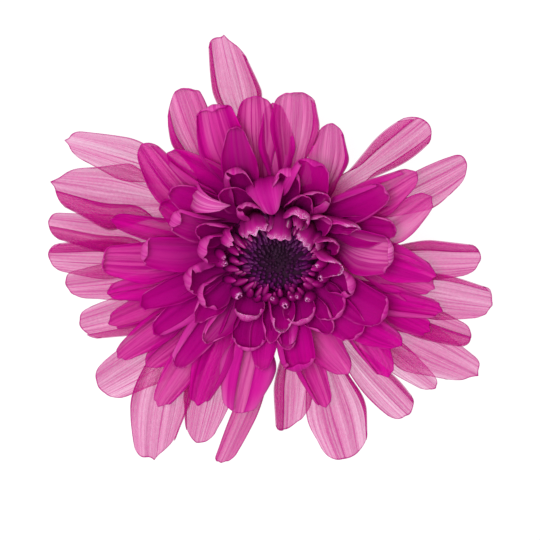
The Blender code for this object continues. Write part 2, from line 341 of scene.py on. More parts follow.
class BladeMarks:
    """What changes over a ray floret's blade, the same for both of its faces.

    The mesh gives "across" from -1 to 1 between its margins, "along" from 0 at the root to 1 at the
    tip, "margin", the distance to its edge in mm, "depth", from 0 on the outermost florets to 1 on
    the innermost, "veil", the share of light that one face holds back, "frost", how pale and rough
    the tip is, "pale", how pale the blade is, or below 0 how deep, "stripe_at" and "stripe_wide",
    the place and half-width across the blade of a crease with painted shade in it, and "seed", a
    random number for each floret.
    """

    def __init__(self, graph: Graph) -> None:
        """Reads the mesh's values and lays the noises over the blade.

        Args:
            graph: the finish that they are for.
        """
        self.graph = graph
        self.across = graph.attribute("across")
        self.along = graph.attribute("along")
        self.margin = graph.attribute("margin")
        self.depth = graph.attribute("depth")
        self.veil = graph.attribute("veil")
        self.frost = graph.attribute("frost")
        self.pale = graph.attribute("pale")
        self.seed = graph.attribute("seed")
        self.clouds = self.laid(CLOUDS)
        self.bands = self.laid(BANDS)
        self.streaks = self.laid(STREAKS)
        self.lines = self.laid(LINES)
        self.threads = self.laid(THREADS)
        self.grain = self.laid(GRAIN)
        self.speckles = self.laid(SPECKLES)
        self.veins = self._veins()
        self.stripe = self._stripe()
        self.edge = self.margin.stepped(0.3, 0.08)
        self.frosted = (self.frost * self.speckles.stepped(0.44, 0.64)).held()

    def laid(self, weave: Weave) -> Signal:
        """A noise laid over the blade."""
        place = self.graph.combine(
            self.across * weave.across, self.along * weave.along, self.seed * weave.shift
        )
        return self.graph.noise(place, 1.0, weave.detail)

    def _veins(self) -> Signal:
        """Ribs that draw together towards the tip and wander a little, with fine lines between.

        Returns:
            1 on a vein and 0 between them.
        """
        ribs_across, sharpness = 31.0, 26.0
        narrowed = self.across * (1.0 - 0.25 * self.along)
        bent = (narrowed + (self.clouds - 0.5) * 0.14) * ribs_across + self.seed * 6.0
        ribs = (bent.cosine() * 0.5 + 0.5) ** sharpness
        fine = self.lines.stepped(0.52, 0.72) * 0.7
        veins = (ribs * self.streaks.stepped(0.3, 0.65) * 0.7 + fine).held()
        return veins * self.along.stepped(0.02, 0.3) * (1.0 - self.depth * 0.3)

    def _stripe(self) -> Signal:
        """A crease that narrows towards the tip, with painted shade in it.

        Returns:
            1 along its middle and 0 from its sides on.
        """
        gap = abs(self.across - self.graph.attribute("stripe_at"))
        wide = self.graph.attribute("stripe_wide") * (1.25 - self.along) + 0.001
        return (1.0 - gap / wide).held()

    def cover(self) -> Signal:
        """How solid the face is: more so at veins, creases and the edge.

        Returns:
            The share of light that it holds back.
        """
        woven = (self.streaks - 0.5) * 0.3 + (self.lines - 0.5) * 0.45
        thick = woven + (self.threads - 0.5) * 0.5 + (0.5 - self.bands) * 0.5
        drawn = self.veins * 0.3 + self.edge * 0.55 + self.stripe * 0.6
        marked = drawn + (self.grain - 0.5) * 0.35
        return (self.veil + (thick * 1.2 + marked) * (1.0 - self.veil)).held()

    def relief(self) -> Signal:
        """The height of the skin: sunken veins, low streaks, a fine grain and the frost's crust."""
        woven = self.veins * -0.5 + self.streaks * 0.5 + (self.threads + self.grain) * 0.25
        return woven + self.speckles * self.frost * 0.6


@dataclass(frozen=True)
class PetalFinish:
    """One face of a ray floret: veined, thin enough to see through, frosted at the young tips.

    outer, inner and dusk are the blade's colour on the outer, middle and innermost rings, light
    that of its pale parts, vein that of its veins and edge, and root and deep that of the painted
    shade at its root on the outer and the innermost ring. frost is the frosted tip's colour, partly
    its own and partly a painted shimmer, glint that of the painted glints on it, and filter what
    light takes on where it passes. glow is the share of light that comes through from behind, and
    glow_outer what the outer ring adds to it. sheen is how much the skin reflects, and lip how
    much paler it is at the tip.
    """

    name: str
    outer: Colour
    inner: Colour
    dusk: Colour
    light: Colour
    vein: Colour
    root: Colour
    deep: Colour
    frost: Colour
    glint: Colour
    filter: Colour
    glow: float
    glow_outer: float
    sheen: float
    lip: float

    def build(self) -> bpy.types.Material:
        """Makes the material: a solid skin that glows from behind, mixed with clear.

        Returns:
            The material.
        """
        material, graph = Graph.of_material(self.name)
        marks = BladeMarks(graph)
        bump = graph.bump(marks.relief(), 0.45, 0.2 * MM)
        skin = graph.solid(self._colour(marks), 0.62 - marks.frosted * 0.25, bump, self.sheen)
        glowing = graph.node(
            "ShaderNodeBsdfTranslucent", sockets={"Color": (*self.outer, 1.0), "Normal": bump}
        )
        glow = (1.0 - marks.depth.stepped(0.0, 0.3)) * self.glow_outer + self.glow
        body = graph.node("ShaderNodeMixShader", sockets={0: glow, 1: skin, 2: glowing})
        clear = graph.node("ShaderNodeBsdfTransparent", sockets={"Color": (*self.filter, 1.0)})
        sockets = {0: marks.cover(), 1: clear, 2: body}
        graph.finish(graph.node("ShaderNodeMixShader", sockets=sockets))
        return material

    def _colour(self, marks: BladeMarks) -> Signal:
        """The face's colour, from its ground up to the frost and the painted glints on it.

        Args:
            marks: what changes over the blade.

        Returns:
            The colour.
        """
        rooted = self._rooted(marks, self._veined(marks, self._ground(marks)))
        # The frosted tip's pale specks: partly its own colour, partly a painted shimmer.
        powdered = marks.graph.mix(marks.frosted * 0.7, rooted, self.frost)
        # Painted glints: near-white specks on the frosted tip.
        sparkle = marks.frost * marks.laid(GLINTS).stepped(0.6, 0.66)
        return marks.graph.mix(sparkle.held(), powdered, self.glint)

    def _ground(self, marks: BladeMarks) -> Signal:
        """The blade's colour, deeper on inner rings and paler where it is thin, with painted shade
        on the innermost rings and a painted highlight along the inner rings' margins.

        Args:
            marks: what changes over the blade.

        Returns:
            The colour.
        """
        graph, along, depth = marks.graph, marks.along, marks.depth
        # On the innermost rings the blade is darkened half way to deep, painted shade deep in the
        # head.
        newest = graph.mix(depth.stepped(0.78, 0.95) * 0.5, self.dusk, self.deep)
        young = graph.mix(depth.stepped(0.3, 0.55), self.inner, newest)
        blade = graph.mix(depth.stepped(0.0, 0.3), self.outer, young)
        # A painted highlight along the margins of the middle and inner rings, in patches.
        rim_highlight = marks.margin.stepped(0.6, 0.05) * depth.stepped(0.2, 0.5)
        rim = rim_highlight * marks.clouds.stepped(0.45, 0.6)
        flat = along.stepped(0.2, 0.6) * (1.0 - depth.stepped(0.05, 0.5))
        thin = marks.bands.stepped(0.47, 0.57) * flat * 0.4
        panel = abs(marks.across).stepped(0.9, 0.35) * along.stepped(0.05, 0.5)
        paled = marks.pale * (0.65 + marks.streaks * 0.7) * panel
        lips = along.stepped(0.8, 1.0) * self.lip
        return graph.mix((thin + rim * 0.3 + (paled + lips)).held(), blade, self.light)

    def _veined(self, marks: BladeMarks, ground: Signal) -> Signal:
        """Draws broad streaks, veins, the crease's painted shade and a darker edge.

        Args:
            marks: what changes over the blade.
            ground: the colour that they are drawn on.

        Returns:
            The colour with them.
        """
        graph = marks.graph
        mottled = graph.mix(marks.streaks.stepped(0.42, 0.62) * 0.75, ground, self.vein)
        outlined = marks.edge * (1.0 - marks.depth.stepped(0.2, 0.5)) * 0.6
        # Veins and a darker edge, and painted shade in the crease.
        drawn = (marks.veins * 0.8 + marks.stripe * 0.9 + outlined).held()
        return graph.mix(drawn, mottled, self.vein)

    def _rooted(self, marks: BladeMarks, veined: Signal) -> Signal:
        """Paints shade at the root, less on a pale blade, and along the broad bands that lie low.

        Args:
            marks: what changes over the blade.
            veined: the colour that is shaded.

        Returns:
            The colour with its shaded root.
        """
        graph = marks.graph
        # Painted shade: deepest at the root, reaching further along on inner rings, and on low
        # bands.
        root = graph.mix(marks.depth, self.root, self.deep)
        low = 1.0 - (marks.along - marks.depth * 0.3).stepped(0.0, 0.7)
        shaded = low * 0.75 + marks.bands.stepped(0.5, 0.3) * 0.2
        return graph.mix((shaded * (1.0 - marks.pale * 0.6)).held(), veined, root)


@dataclass(frozen=True)
class BudFinish:
    """The disc's buds: near black in the middle, magenta at the rim, with painted tip highlights.

    middle, dusk and rim are the colour in the disc's middle, half-way and at its rim, tip that of
    the painted highlight on a bud's tip, and frost that of the pale specks on it, partly their own
    colour and partly painted glints.
    """

    name: str
    middle: Colour
    dusk: Colour
    rim: Colour
    tip: Colour
    frost: Colour

    def build(self) -> bpy.types.Material:
        """Makes the material.

        A bud's mesh gives "depth", from 0 at the rim to 1 in the middle, "along", from its foot to
        its tip, "frost", how frosted the tip is, and "seed", a random number for each bud.

        Returns:
            The material.
        """
        material, graph = Graph.of_material(self.name)
        depth = graph.attribute("depth")
        along = graph.attribute("along")
        frost = graph.attribute("frost")
        seed = graph.attribute("seed")
        place = graph.node("ShaderNodeTexCoord", output="Object")
        grain = graph.noise(place, 2500.0, 3.0)
        outskirts = graph.mix(depth.stepped(0.05, 0.4), self.rim, self.dusk)
        body = graph.mix(depth.stepped(0.35, 0.85), outskirts, self.middle)
        # Painted shade: each bud darkens towards its foot, where the buds pack together.
        footed = graph.mix(along.stepped(0.1, 0.6), self.middle, body)
        # A painted highlight on the tips of the buds near the rim.
        tip_highlight = along.stepped(0.6, 0.98) * (1.0 - depth.stepped(0.0, 0.4)) * (0.05 + seed * 0.5)
        highlighted = graph.mix(tip_highlight, footed, self.tip)
        # Pale specks on the tip: partly their own colour, partly painted glints.
        speckled = grain.stepped(0.46, 0.58) * frost * along.stepped(0.9, 0.99) * 0.8
        tipped = graph.mix(speckled.held(), highlighted, self.frost)
        roughness = (0.22 + grain * 0.25 + depth * 0.5).held()
        graph.finish(graph.solid(tipped, roughness, graph.bump(grain, 0.4, 0.1 * MM), 0.3))
        return material


@dataclass(frozen=True)
class BractFinish:
    """Green bracts with darker veins and a darker keel, and thin brown papery margins."""

    name: str
    green: Colour
    dark: Colour
    paper: Colour

    def build(self) -> bpy.types.Material:
        """Makes the material, from the same values of the mesh as a ray floret's.

        Returns:
            The material.
        """
        material, graph = Graph.of_material(self.name)
        across = graph.attribute("across")
        along = graph.attribute("along")
        margin = graph.attribute("margin")
        seed = graph.attribute("seed")
        streaks = graph.noise(graph.combine(across * 10.0, along * 2.0, seed * 41.0), 1.0, 3.0)
        wander = graph.noise(graph.combine(across * 3.0, along * 6.0, seed * 23.0), 1.0, 2.0)
        leaf = graph.mix(streaks.stepped(0.35, 0.7) * 0.7, self.green, self.dark)
        keeled = graph.mix(abs(across).stepped(0.18, 0.0) * 0.5, leaf, self.dark)
        papery = (margin + wander * 0.5).stepped(0.85, 0.5)
        colour = graph.mix(papery, keeled, self.paper)
        bump = graph.bump(streaks, 0.5, 0.2 * MM)
        graph.finish(graph.solid(colour, 0.55 + papery * 0.2, bump, 0.3))
        return material


@dataclass(frozen=True)
class FleshFinish:
    """Fibrous flesh in a skin, as the core and the stalk have it. cut_height is in metres.

    The core's and the cushion's dark purple is painted shade in the gaps between their florets.
    """

    name: str
    skin: Colour
    pith: Colour
    cut_height: float = 0.15 * MM

    def build(self) -> bpy.types.Material:
        """Makes the material, which shows the cut below cut_height.

        Returns:
            The material.
        """
        material, graph = Graph.of_material(self.name)
        place = graph.node("ShaderNodeTexCoord", output="Object")
        height = graph.node("ShaderNodeSeparateXYZ", sockets={0: place}, output=2)
        grain = graph.noise(place, 900.0, 4.0)
        fibres = graph.node(
            "ShaderNodeTexVoronoi", sockets={"Vector": place, "Scale": 1800.0}, output="Distance"
        )
        fleshy = graph.mix(grain.stepped(0.35, 0.65) * 0.5, self.skin, self.pith)
        ringed = graph.mix(fibres.stepped(0.1, 0.5), self.pith, self.skin)
        colour = graph.mix(height.stepped(self.cut_height * 1.6, self.cut_height), fleshy, ringed)
        bump = graph.bump(grain, 0.5, 0.2 * MM)
        graph.finish(graph.solid(colour, 0.6 + grain * 0.2, bump, 0.1))
        return material


@dataclass
class Skin:
    """A mesh in the making: many closed sheets or turned bodies that become one piece."""

    points: list[np.ndarray] = field(default_factory=list)
    faces: list[Corners] = field(default_factory=list)
    slots: list[int] = field(default_factory=list)
    values: dict[str, list[np.ndarray]] = field(default_factory=dict)
    count: int = 0

    def add(
        self,
        points: np.ndarray,
        faces: list[Corners],
        slots: list[int],
        values: dict[str, np.ndarray],
    ) -> None:
        """Adds one closed body.

        Args:
            points: its points, one row each, in metres.
            faces: its faces, by the numbers of its own points.
            slots: each face's material slot.
            values: numbers at each point, by name.
        """
        self.faces += [tuple(self.count + corner for corner in face) for face in faces]
        self.slots += slots
        self.points.append(points)
        self.count += len(points)
        for name, numbers in values.items():
            self.values.setdefault(name, []).append(numbers)

    def to_object(self, name: str, materials: list[bpy.types.Material]) -> bpy.types.Object:
        """Makes the object.

        Args:
            name: the piece's name.
            materials: one for each slot.

        Returns:
            The object, in the scene.
        """
        mesh = bpy.data.meshes.new(name)
        mesh.from_pydata(np.concatenate(self.points).tolist(), [], self.faces)
        for material in materials:
            mesh.materials.append(material)
        mesh.polygons.foreach_set("material_index", self.slots)
        mesh.polygons.foreach_set("use_smooth", [True] * len(self.faces))
        for key, parts in self.values.items():
            layer = mesh.attributes.new(key, "FLOAT", "POINT")
            layer.data.foreach_set("value", np.concatenate(parts).astype(np.float32))
        mesh.update()
        piece = bpy.data.objects.new(name, mesh)
        bpy.context.scene.collection.objects.link(piece)
        return piece


@dataclass(frozen=True)
class Bearing:
    """How the florets of one ring leave the core and how their blades bend.

    Their roots lie at root_radius and root_height, every other one higher by stagger. A blade
    climbs at root_rise from its root and at tip_rise where its curl starts, the cups are the bend
    of each half of its cross-section at the root, the middle and the tip, and its last curl_length
    curls up and over by curl. Lengths are in mm and angles in degrees.
    """

    root_radius: float
    root_height: float
    stagger: float
    root_rise: float
    tip_rise: float
    root_cup: float
    mid_cup: float
    tip_cup: float
    curl: float
    curl_length: float


@dataclass(frozen=True)
class Veil:
    """How much light one face of a blade holds back: a share at its root and one at its tip.

    The first turns into the second between start and end, which are shares of the length.
    """

    root: float
    tip: float
    start: float = 0.2
    end: float = 0.7

    def thicker(self, body: float) -> Veil:
        """The veil of a floret whose tip has more body than the rest of its ring, or less."""
        return replace(self, tip=min(self.tip * body, 1.0))

    def over(self, along: np.ndarray) -> np.ndarray:
        """The share that is held back at places from 0 at the root to 1 at the tip."""
        cleared = smooth((along - self.start) / (self.end - self.start))
        return self.root + (self.tip - self.root) * cleared


@dataclass(frozen=True, order=True)
class Floret:
    """One ray floret: where its tip lies, in degrees and mm, and what its blade does.

    lean turns its root round the core from its tip, point narrows its tip, curl bends the tip up
    and over, the folds turn its margins in, and twist turns the whole blade about its length, all
    in degrees but for point. frost is how frosted the tip is, from 0 to 1. band is the share of
    each half that a fold turns in, bow bends the blade sideways towards its lean, roll is the
    length that curls, in mm, and body how much light it holds back beside the rest of its ring.
    rise and cup add to the ring's own tip_rise and cups, and stripe is the place and half-width
    across the blade of a crease with painted shade in it, from -1 at its right margin to 1 at its
    left. pale is how pale it is, up to 1, or below 0 how deep in colour, skew sets back one side
    of the tip (above 0 the right one) and apex is the length of a small point on it, in mm. fan,
    unless it is 0, is where the blade is first at its widest, as a share of its length.
    """

    azimuth: float
    reach: float
    height: float
    width: float
    lean: float = 0.0
    point: float = 0.4
    curl: float = 0.0
    fold_left: float = 0.0
    fold_right: float = 0.0
    twist: float = 0.0
    frost: float = 0.0
    band: float = 0.4
    bow: float = 0.2
    roll: float = 0.0
    body: float = 1.0
    rise: float = 0.0
    cup: float = 0.0
    stripe: tuple[float, float] = (0.0, 0.0)
    pale: float = 0.0
    skew: float = 0.0
    apex: float = 0.0
    fan: float = 0.0


@dataclass
class Spine:
    """A blade's middle line: an arch from the core to its tip, and then a curl. In metres.

    inset is the share of the curl's length by which the arch stops short of reach and height,
    slack how much longer the arch is than a straight line, handle how far its two ends keep their
    headings, as a share of that line, bending where it turns sideways, as a share of its way out,
    near the reach, in root radii, within which it heads straight out, and settling how much
    sooner than at its tip it has its last heading.
    """

    root_radius: float
    root_height: float
    azimuth: float
    reach: float
    height: float
    lean: float
    root_rise: float
    tip_rise: float
    curl: float
    curl_length: float
    bow: float = 0.2
    inset: float = 0.65
    slack: float = 1.05
    handle: float = 0.38
    bending: float = 0.45
    near: float = 1.35
    settling: float = 1.4

    def __post_init__(self) -> None:
        """Works out the arch's control points."""
        rise = math.radians(self.tip_rise)
        reach = self.reach - self.inset * self.curl_length * math.cos(rise)
        height = self.height - self.inset * self.curl_length * math.sin(rise)
        root = polar(self.root_radius, self.azimuth + self.lean, self.root_height)
        self.tip = polar(reach, self.azimuth, height)
        span = (self.tip - root).length
        self.length = span * self.slack + self.curl_length
        self.root_azimuth = self.azimuth + self.bow * self.lean
        bend = root + polar(self.bending * (reach - self.root_radius), self.root_azimuth)
        heading = (self.tip - bend).xy
        self.tip_azimuth = math.degrees(math.atan2(heading.y, heading.x))
        if reach < self.near * self.root_radius:
            self.tip_azimuth = self.azimuth
        self.end = rising(self.tip_azimuth, self.tip_rise)
        self.side = polar(1.0, self.tip_azimuth + 90.0)
        self.control = (
            root,
            root + rising(self.root_azimuth, self.root_rise) * span * self.handle,
            self.tip - self.end * span * self.handle,
            self.tip,
        )

    def at(self, share: float) -> tuple[Vector, Vector]:
        """Follows the line.

        Args:
            share: the share of the length, 0 to 1.

        Returns:
            The point there and the direction of the line.
        """
        straight = 1.0 - self.curl_length / self.length
        if share <= straight or not self.curl_length:
            t = share / straight
            a, b, c, d = self.control
            point = a * (1 - t) ** 3 + b * 3 * t * (1 - t) ** 2 + c * 3 * t * t * (1 - t) + d * t**3
            way = (b - a) * (1 - t) ** 2 + (c - b) * 2 * t * (1 - t) + (d - c) * t * t
            return point, way.normalized()
        part = (share - straight) / (1.0 - straight)
        turn = math.radians(self.curl)
        up = self.end.cross(self.side)
        if turn < 1e-3:
            return self.tip + self.end * self.curl_length * part, self.end
        radius = self.curl_length / turn
        angle = turn * part
        point = self.tip + self.end * radius * math.sin(angle) + up * radius * (1 - math.cos(angle))
        return point, self.end * math.cos(angle) + up * math.sin(angle)

    def frame(self, share: float, twist: float) -> tuple[Vector, Vector, Vector]:
        """The point, the sideways direction and the upper side's direction at a share.

        Args:
            share: the share of the length, 0 to 1.
            twist: how far the blade turns about its length by its tip, in degrees.

        Returns:
            The point and the two directions.
        """
        point, way = self.at(share)
        turn = (self.tip_azimuth - self.root_azimuth + 180.0) % 360.0 - 180.0
        heading = self.root_azimuth + turn * min(share * self.settling, 1.0)
        side = polar(1.0, heading + 90.0)
        side = (side - way * side.dot(way)).normalized()
        up = way.cross(side)
        angle = math.radians(twist) * ease(0.0, 1.0, share)
        return (
            point,
            side * math.cos(angle) + up * math.sin(angle),
            up * math.cos(angle) - side * math.sin(angle),
        )


@dataclass
class Blade:
    """A petal or bract: a thin cupped closed sheet along a spine. Lengths are in metres.

    cups is the bend of each half of its cross-section at the root, the middle and the tip, in
    degrees, along and across how many faces it has each way, and claw the root's share of the
    full width. The folds turn in a band of its left and its right half over a crease, which are
    both shares of that half, and twist turns it about its length, all in degrees. pleat, ruffle
    and notch are the depth of its lengthwise ridges, its wavy margins and the teeth at its tip,
    and phase shifts them. Of the shares of its length, fan is where it is first at its widest,
    shoulder where it narrows again and tip_start where its tip begins. flare is how late it
    widens, 0 to 1. Its tip is crown of its width wide, less taper for a point of 1, and it is
    rounded over tip_depth of its width, and point_depth more for a point of 1. skew is how far
    one side of it is set back, as a share of its width, and apex the length of the small point
    in its middle. margin_thinning is how much thinner the sheet is at its margins.
    """

    spine: Spine
    width: float
    cups: tuple[float, float, float]
    along: int
    across: int
    claw: float
    point: float = 0.4
    folds: tuple[float, float] = (0.0, 0.0)
    band: float = 0.4
    crease: float = 0.16
    twist: float = 0.0
    thickness: float = 0.28 * MM
    pleat: float = 0.0
    ruffle: float = 0.0
    notch: float = 0.0
    phase: float = 0.0
    skew: float = 0.0
    apex: float = 0.0
    fan: float = 0.52
    flare: float = 0.65
    shoulder: float = 0.64
    crown: float = 0.72
    taper: float = 0.28
    tip_start: float = 0.5
    tip_depth: float = 0.34
    point_depth: float = 0.2
    teeth: float = 3.0
    margin_thinning: float = 0.45

    def __post_init__(self) -> None:
        """Spreads the lines of points, closer together at the tip and at the margins."""
        tip_crowding, margin_crowding = 0.6, 1.15
        steps = np.linspace(0.0, 1.0, self.along + 1)
        self.shares = steps * (1.0 + tip_crowding - tip_crowding * steps)
        steps = np.linspace(-1.0, 1.0, self.across + 1)
        self.sides = np.sign(steps) * (1.0 - (1.0 - np.abs(steps)) ** margin_crowding)
        self.edge = np.abs(self.sides)
        self.halves = ((1.0, self.folds[0]), (-1.0, self.folds[1]))

    def girth(self, share: float) -> float:
        """The width at a place along the blade.

        Args:
            share: the share of the length.

        Returns:
            The share of the full width.
        """
        crown = self.crown - self.taper * self.point
        past = max(share - self.shoulder, 0.0) / (1.0 - self.shoulder)
        part = share / self.fan
        opened = (1.0 - self.flare) * part + self.flare * part * part
        widening = ease(self.claw, 1.0, opened)
        return widening * (1.0 - (1.0 - crown) * past**2)

    def cup(self, share: float) -> float:
        """The bend of each half of the cross-section, in radians.

        Args:
            share: the share of the length.

        Returns:
            The angle between the middle line and the margin.
        """
        root_cup, mid_cup, tip_cup = (math.radians(cup) for cup in self.cups)
        cupped, uncupping = 0.5, 0.6
        if share > uncupping:
            return ease(mid_cup, tip_cup, (share - uncupping) / (1.0 - uncupping))
        return ease(root_cup, mid_cup, share / cupped)

    def half_section(self, share: float, fold: float) -> tuple[np.ndarray, np.ndarray]:
        """One half of the cross-section, bent by the cup and by its fold.

        A half that is folded far is wider by what the fold hides, so that the blade keeps its
        outline.

        Args:
            share: the share of the length.
            fold: how far its margin is turned in, in degrees.

        Returns:
            The sideways and the upward places of evenly spaced points, from the middle outwards.
        """
        cup = self.cup(share)
        spread = cup / math.sin(min(cup, math.pi / 2)) if cup > 0.01 else 1.0
        half = self.width / 2 * min(spread, 2.0) * self.girth(share)
        opening = ease(0.0, 1.0, (share - FOLD_START) / FOLD_RUN)
        parts = (np.arange(FOLD_STEPS) + 0.5) / FOLD_STEPS
        start = 1.0 - self.band
        angles = cup * parts + math.radians(fold) * opening * smooth((parts - start) / self.crease)
        hidden = opening * min(max((fold - HIDING_FOLD) / (HIDDEN_FOLD - HIDING_FOLD), 0.0), 1.0)
        reach = half * (1.0 + (1.0 / (start + 0.5 * self.crease) - 1.0) * hidden)
        runs = np.concatenate([[0.0], np.cumsum(np.cos(angles))]) * reach / FOLD_STEPS
        climbs = np.concatenate([[0.0], np.cumsum(np.sin(angles))]) * reach / FOLD_STEPS
        return runs, climbs

    def section(self, share: float) -> tuple[np.ndarray, np.ndarray]:
        """The whole cross-section.

        Args:
            share: the share of the length.

        Returns:
            The sideways and the upward places of its points, from right to left.
        """
        knots = np.linspace(0.0, 1.0, FOLD_STEPS + 1)
        out = np.zeros(self.across + 1)
        up = np.zeros(self.across + 1)
        for sign, fold in self.halves:
            runs, climbs = self.half_section(share, fold)
            here = self.sides * sign >= 0.0
            out[here] = sign * np.interp(self.edge[here], knots, runs)
            up[here] = np.interp(self.edge[here], knots, climbs)
        return out, up

    def tip_line(self, share: float, out: np.ndarray) -> np.ndarray:
        """How far a row's points are set back, which rounds, skews, points and notches the tip.

        Args:
            share: the row's share of the length.
            out: the sideways places of its points.

        Returns:
            What is taken off the share at each point.
        """
        flattest, roundness, blunt, sharpest, apex_half = 0.03, 0.98, 0.2, 0.8, 0.3
        length = self.spine.length
        wide = self.width / length
        rounding = max(self.tip_depth + self.point_depth * self.point, flattest) * wide
        sharp = min(max(self.point - blunt, 0.0), sharpest)
        far = self.edge.copy()
        for sign, fold in self.halves:
            here = self.sides * sign >= 0.0
            if fold > HIDING_FOLD:
                far[here] = np.abs(out[here]) / np.abs(out[here]).max()
        round_arc = 1.0 - np.sqrt(1.0 - roundness * far**2)
        pointed = np.clip(1.0 - far / apex_half, 0.0, 1.0) ** 2
        small_point = self.apex / length / rounding * pointed
        arc = (1.0 - sharp) * round_arc + sharp * far - small_point
        leaning = 0.5 - 0.5 * np.sign(self.skew * self.sides) * far
        back = rounding * arc + abs(self.skew) * wide * leaning
        late = ease(0.0, 1.0, (share - self.tip_start) / (1.0 - self.tip_start))
        shifted = self.sides + 0.1 * math.sin(self.phase)
        toothed = 0.5 - 0.5 * np.cos(math.pi * self.teeth * shifted)
        return (back - back.min()) * late + self.notch / length * toothed * late**4

    def ripples(self, share: float) -> np.ndarray:
        """Lengthwise ridges that fade at both ends, and margins that wave more towards the tip.

        Args:
            share: the share of the length.

        Returns:
            How far each point of the row is raised.
        """
        ridge_turns, fine_turns, margin_turns, margin_lag = 8.2, 17.0, 15.0, 1.3
        broad = np.cos(self.sides * ridge_turns + self.phase)
        ridges = broad + 0.5 * np.cos(self.sides * fine_turns - self.phase)
        ridged = ease(0.0, 1.0, share / 0.35) * ease(1.0, 0.45, (share - 0.75) / 0.25)
        waves = np.sin(share * margin_turns + self.phase + np.sign(self.sides) * margin_lag)
        waved = self.edge**3 * ease(0.0, 1.0, (share - 0.3) / 0.5)
        return self.pleat * ridged * ridges + self.ruffle * waved * waves

    def middle(self) -> np.ndarray:
        """The sheet's middle surface.

        Returns:
            Its points, in rows along the blade.
        """
        places = np.zeros((self.along + 1, self.across + 1, 3))
        for i, share in enumerate(self.shares):
            out, up = self.section(share)
            back = self.tip_line(share, out)
            up = up + self.ripples(share)
            for j in range(self.across + 1):
                centre, side, over = self.spine.frame(share - back[j], self.twist)
                places[i, j] = centre + side * out[j] + over * up[j]
        return places

    def thickened(self) -> np.ndarray:
        """The middle surface's points moved up by half the thickness, and then moved down.

        Returns:
            The points of the inside and then those of the outside, one row each.
        """
        middle = self.middle()
        normals = np.cross(np.gradient(middle, axis=0), np.gradient(middle, axis=1))
        normals /= np.maximum(np.linalg.norm(normals, axis=2, keepdims=True), 1e-12)
        half = self.thickness / 2.0 * (1.0 - self.margin_thinning * self.edge**2)
        shift = normals * half[None, :, None]
        return np.concatenate([(middle + shift).reshape(-1, 3), (middle - shift).reshape(-1, 3)])

    def faces(self) -> tuple[list[Corners], list[int]]:
        """The faces of both sides and of the strip round the edge that closes the sheet.

        Returns:
            The faces, by the numbers of their points, and each one's material slot.
        """
        rows, columns = self.along + 1, self.across + 1
        count = rows * columns
        faces: list[Corners] = []
        slots: list[int] = []
        for i in range(self.along):
            for j in range(self.across):
                a = i * columns + j
                b = a + columns
                faces.append((a, b, b + 1, a + 1))
                slots.append(Face.INSIDE.value)
                faces.append((a + count, a + 1 + count, b + 1 + count, b + count))
                slots.append(Face.OUTSIDE.value)
        ring = list(range(columns))
        ring += [i * columns + self.across for i in range(1, rows)]
        ring += [self.along * columns + j for j in range(self.across - 1, -1, -1)]
        ring += [i * columns for i in range(self.along - 1, 0, -1)]
        for a, b in zip(ring, ring[1:] + ring[:1]):
            faces.append((a, b, b + count, a + count))
            slots.append(Face.INSIDE.value)
        return faces, slots

    def numbers(self, values: dict[str, float], veil: Veil) -> dict[str, np.ndarray]:
        """What the finish reads at each point of one side.

        Args:
            values: numbers that are the same all over the blade, by name.
            veil: how much light one face holds back.

        Returns:
            The numbers, by name. Frost is only near the tip.
        """
        frost_start, frost_run = 0.88, 0.1
        rows, columns = self.along + 1, self.across + 1
        along = np.repeat(self.shares, columns)
        girths = np.array([self.girth(share) for share in self.shares])
        sideways = (1.0 - self.edge[None, :]) * girths[:, None] * self.width / 2.0
        endways = (1.0 - self.shares)[:, None] * self.spine.length
        numbers = {
            "across": np.tile(self.sides, rows),
            "along": along,
            "margin": np.minimum(sideways, endways).reshape(-1) / MM,
            "veil": veil.over(along),
        }
        for name, value in values.items():
            numbers[name] = np.full(rows * columns, value)
        if "frost" in numbers:
            numbers["frost"] *= np.clip((along - frost_start) / frost_run, 0.0, 1.0)
        return numbers

    def add_to(self, skin: Skin, values: dict[str, float], veil: Veil) -> None:
        """Adds the closed blade to a skin.

        Args:
            skin: what it becomes part of.
            values: numbers that are the same all over the blade, by name.
            veil: how much light one face holds back.
        """
        numbers = self.numbers(values, veil)
        doubled = {name: np.concatenate([part, part]) for name, part in numbers.items()}
        skin.add(self.thickened(), *self.faces(), doubled)


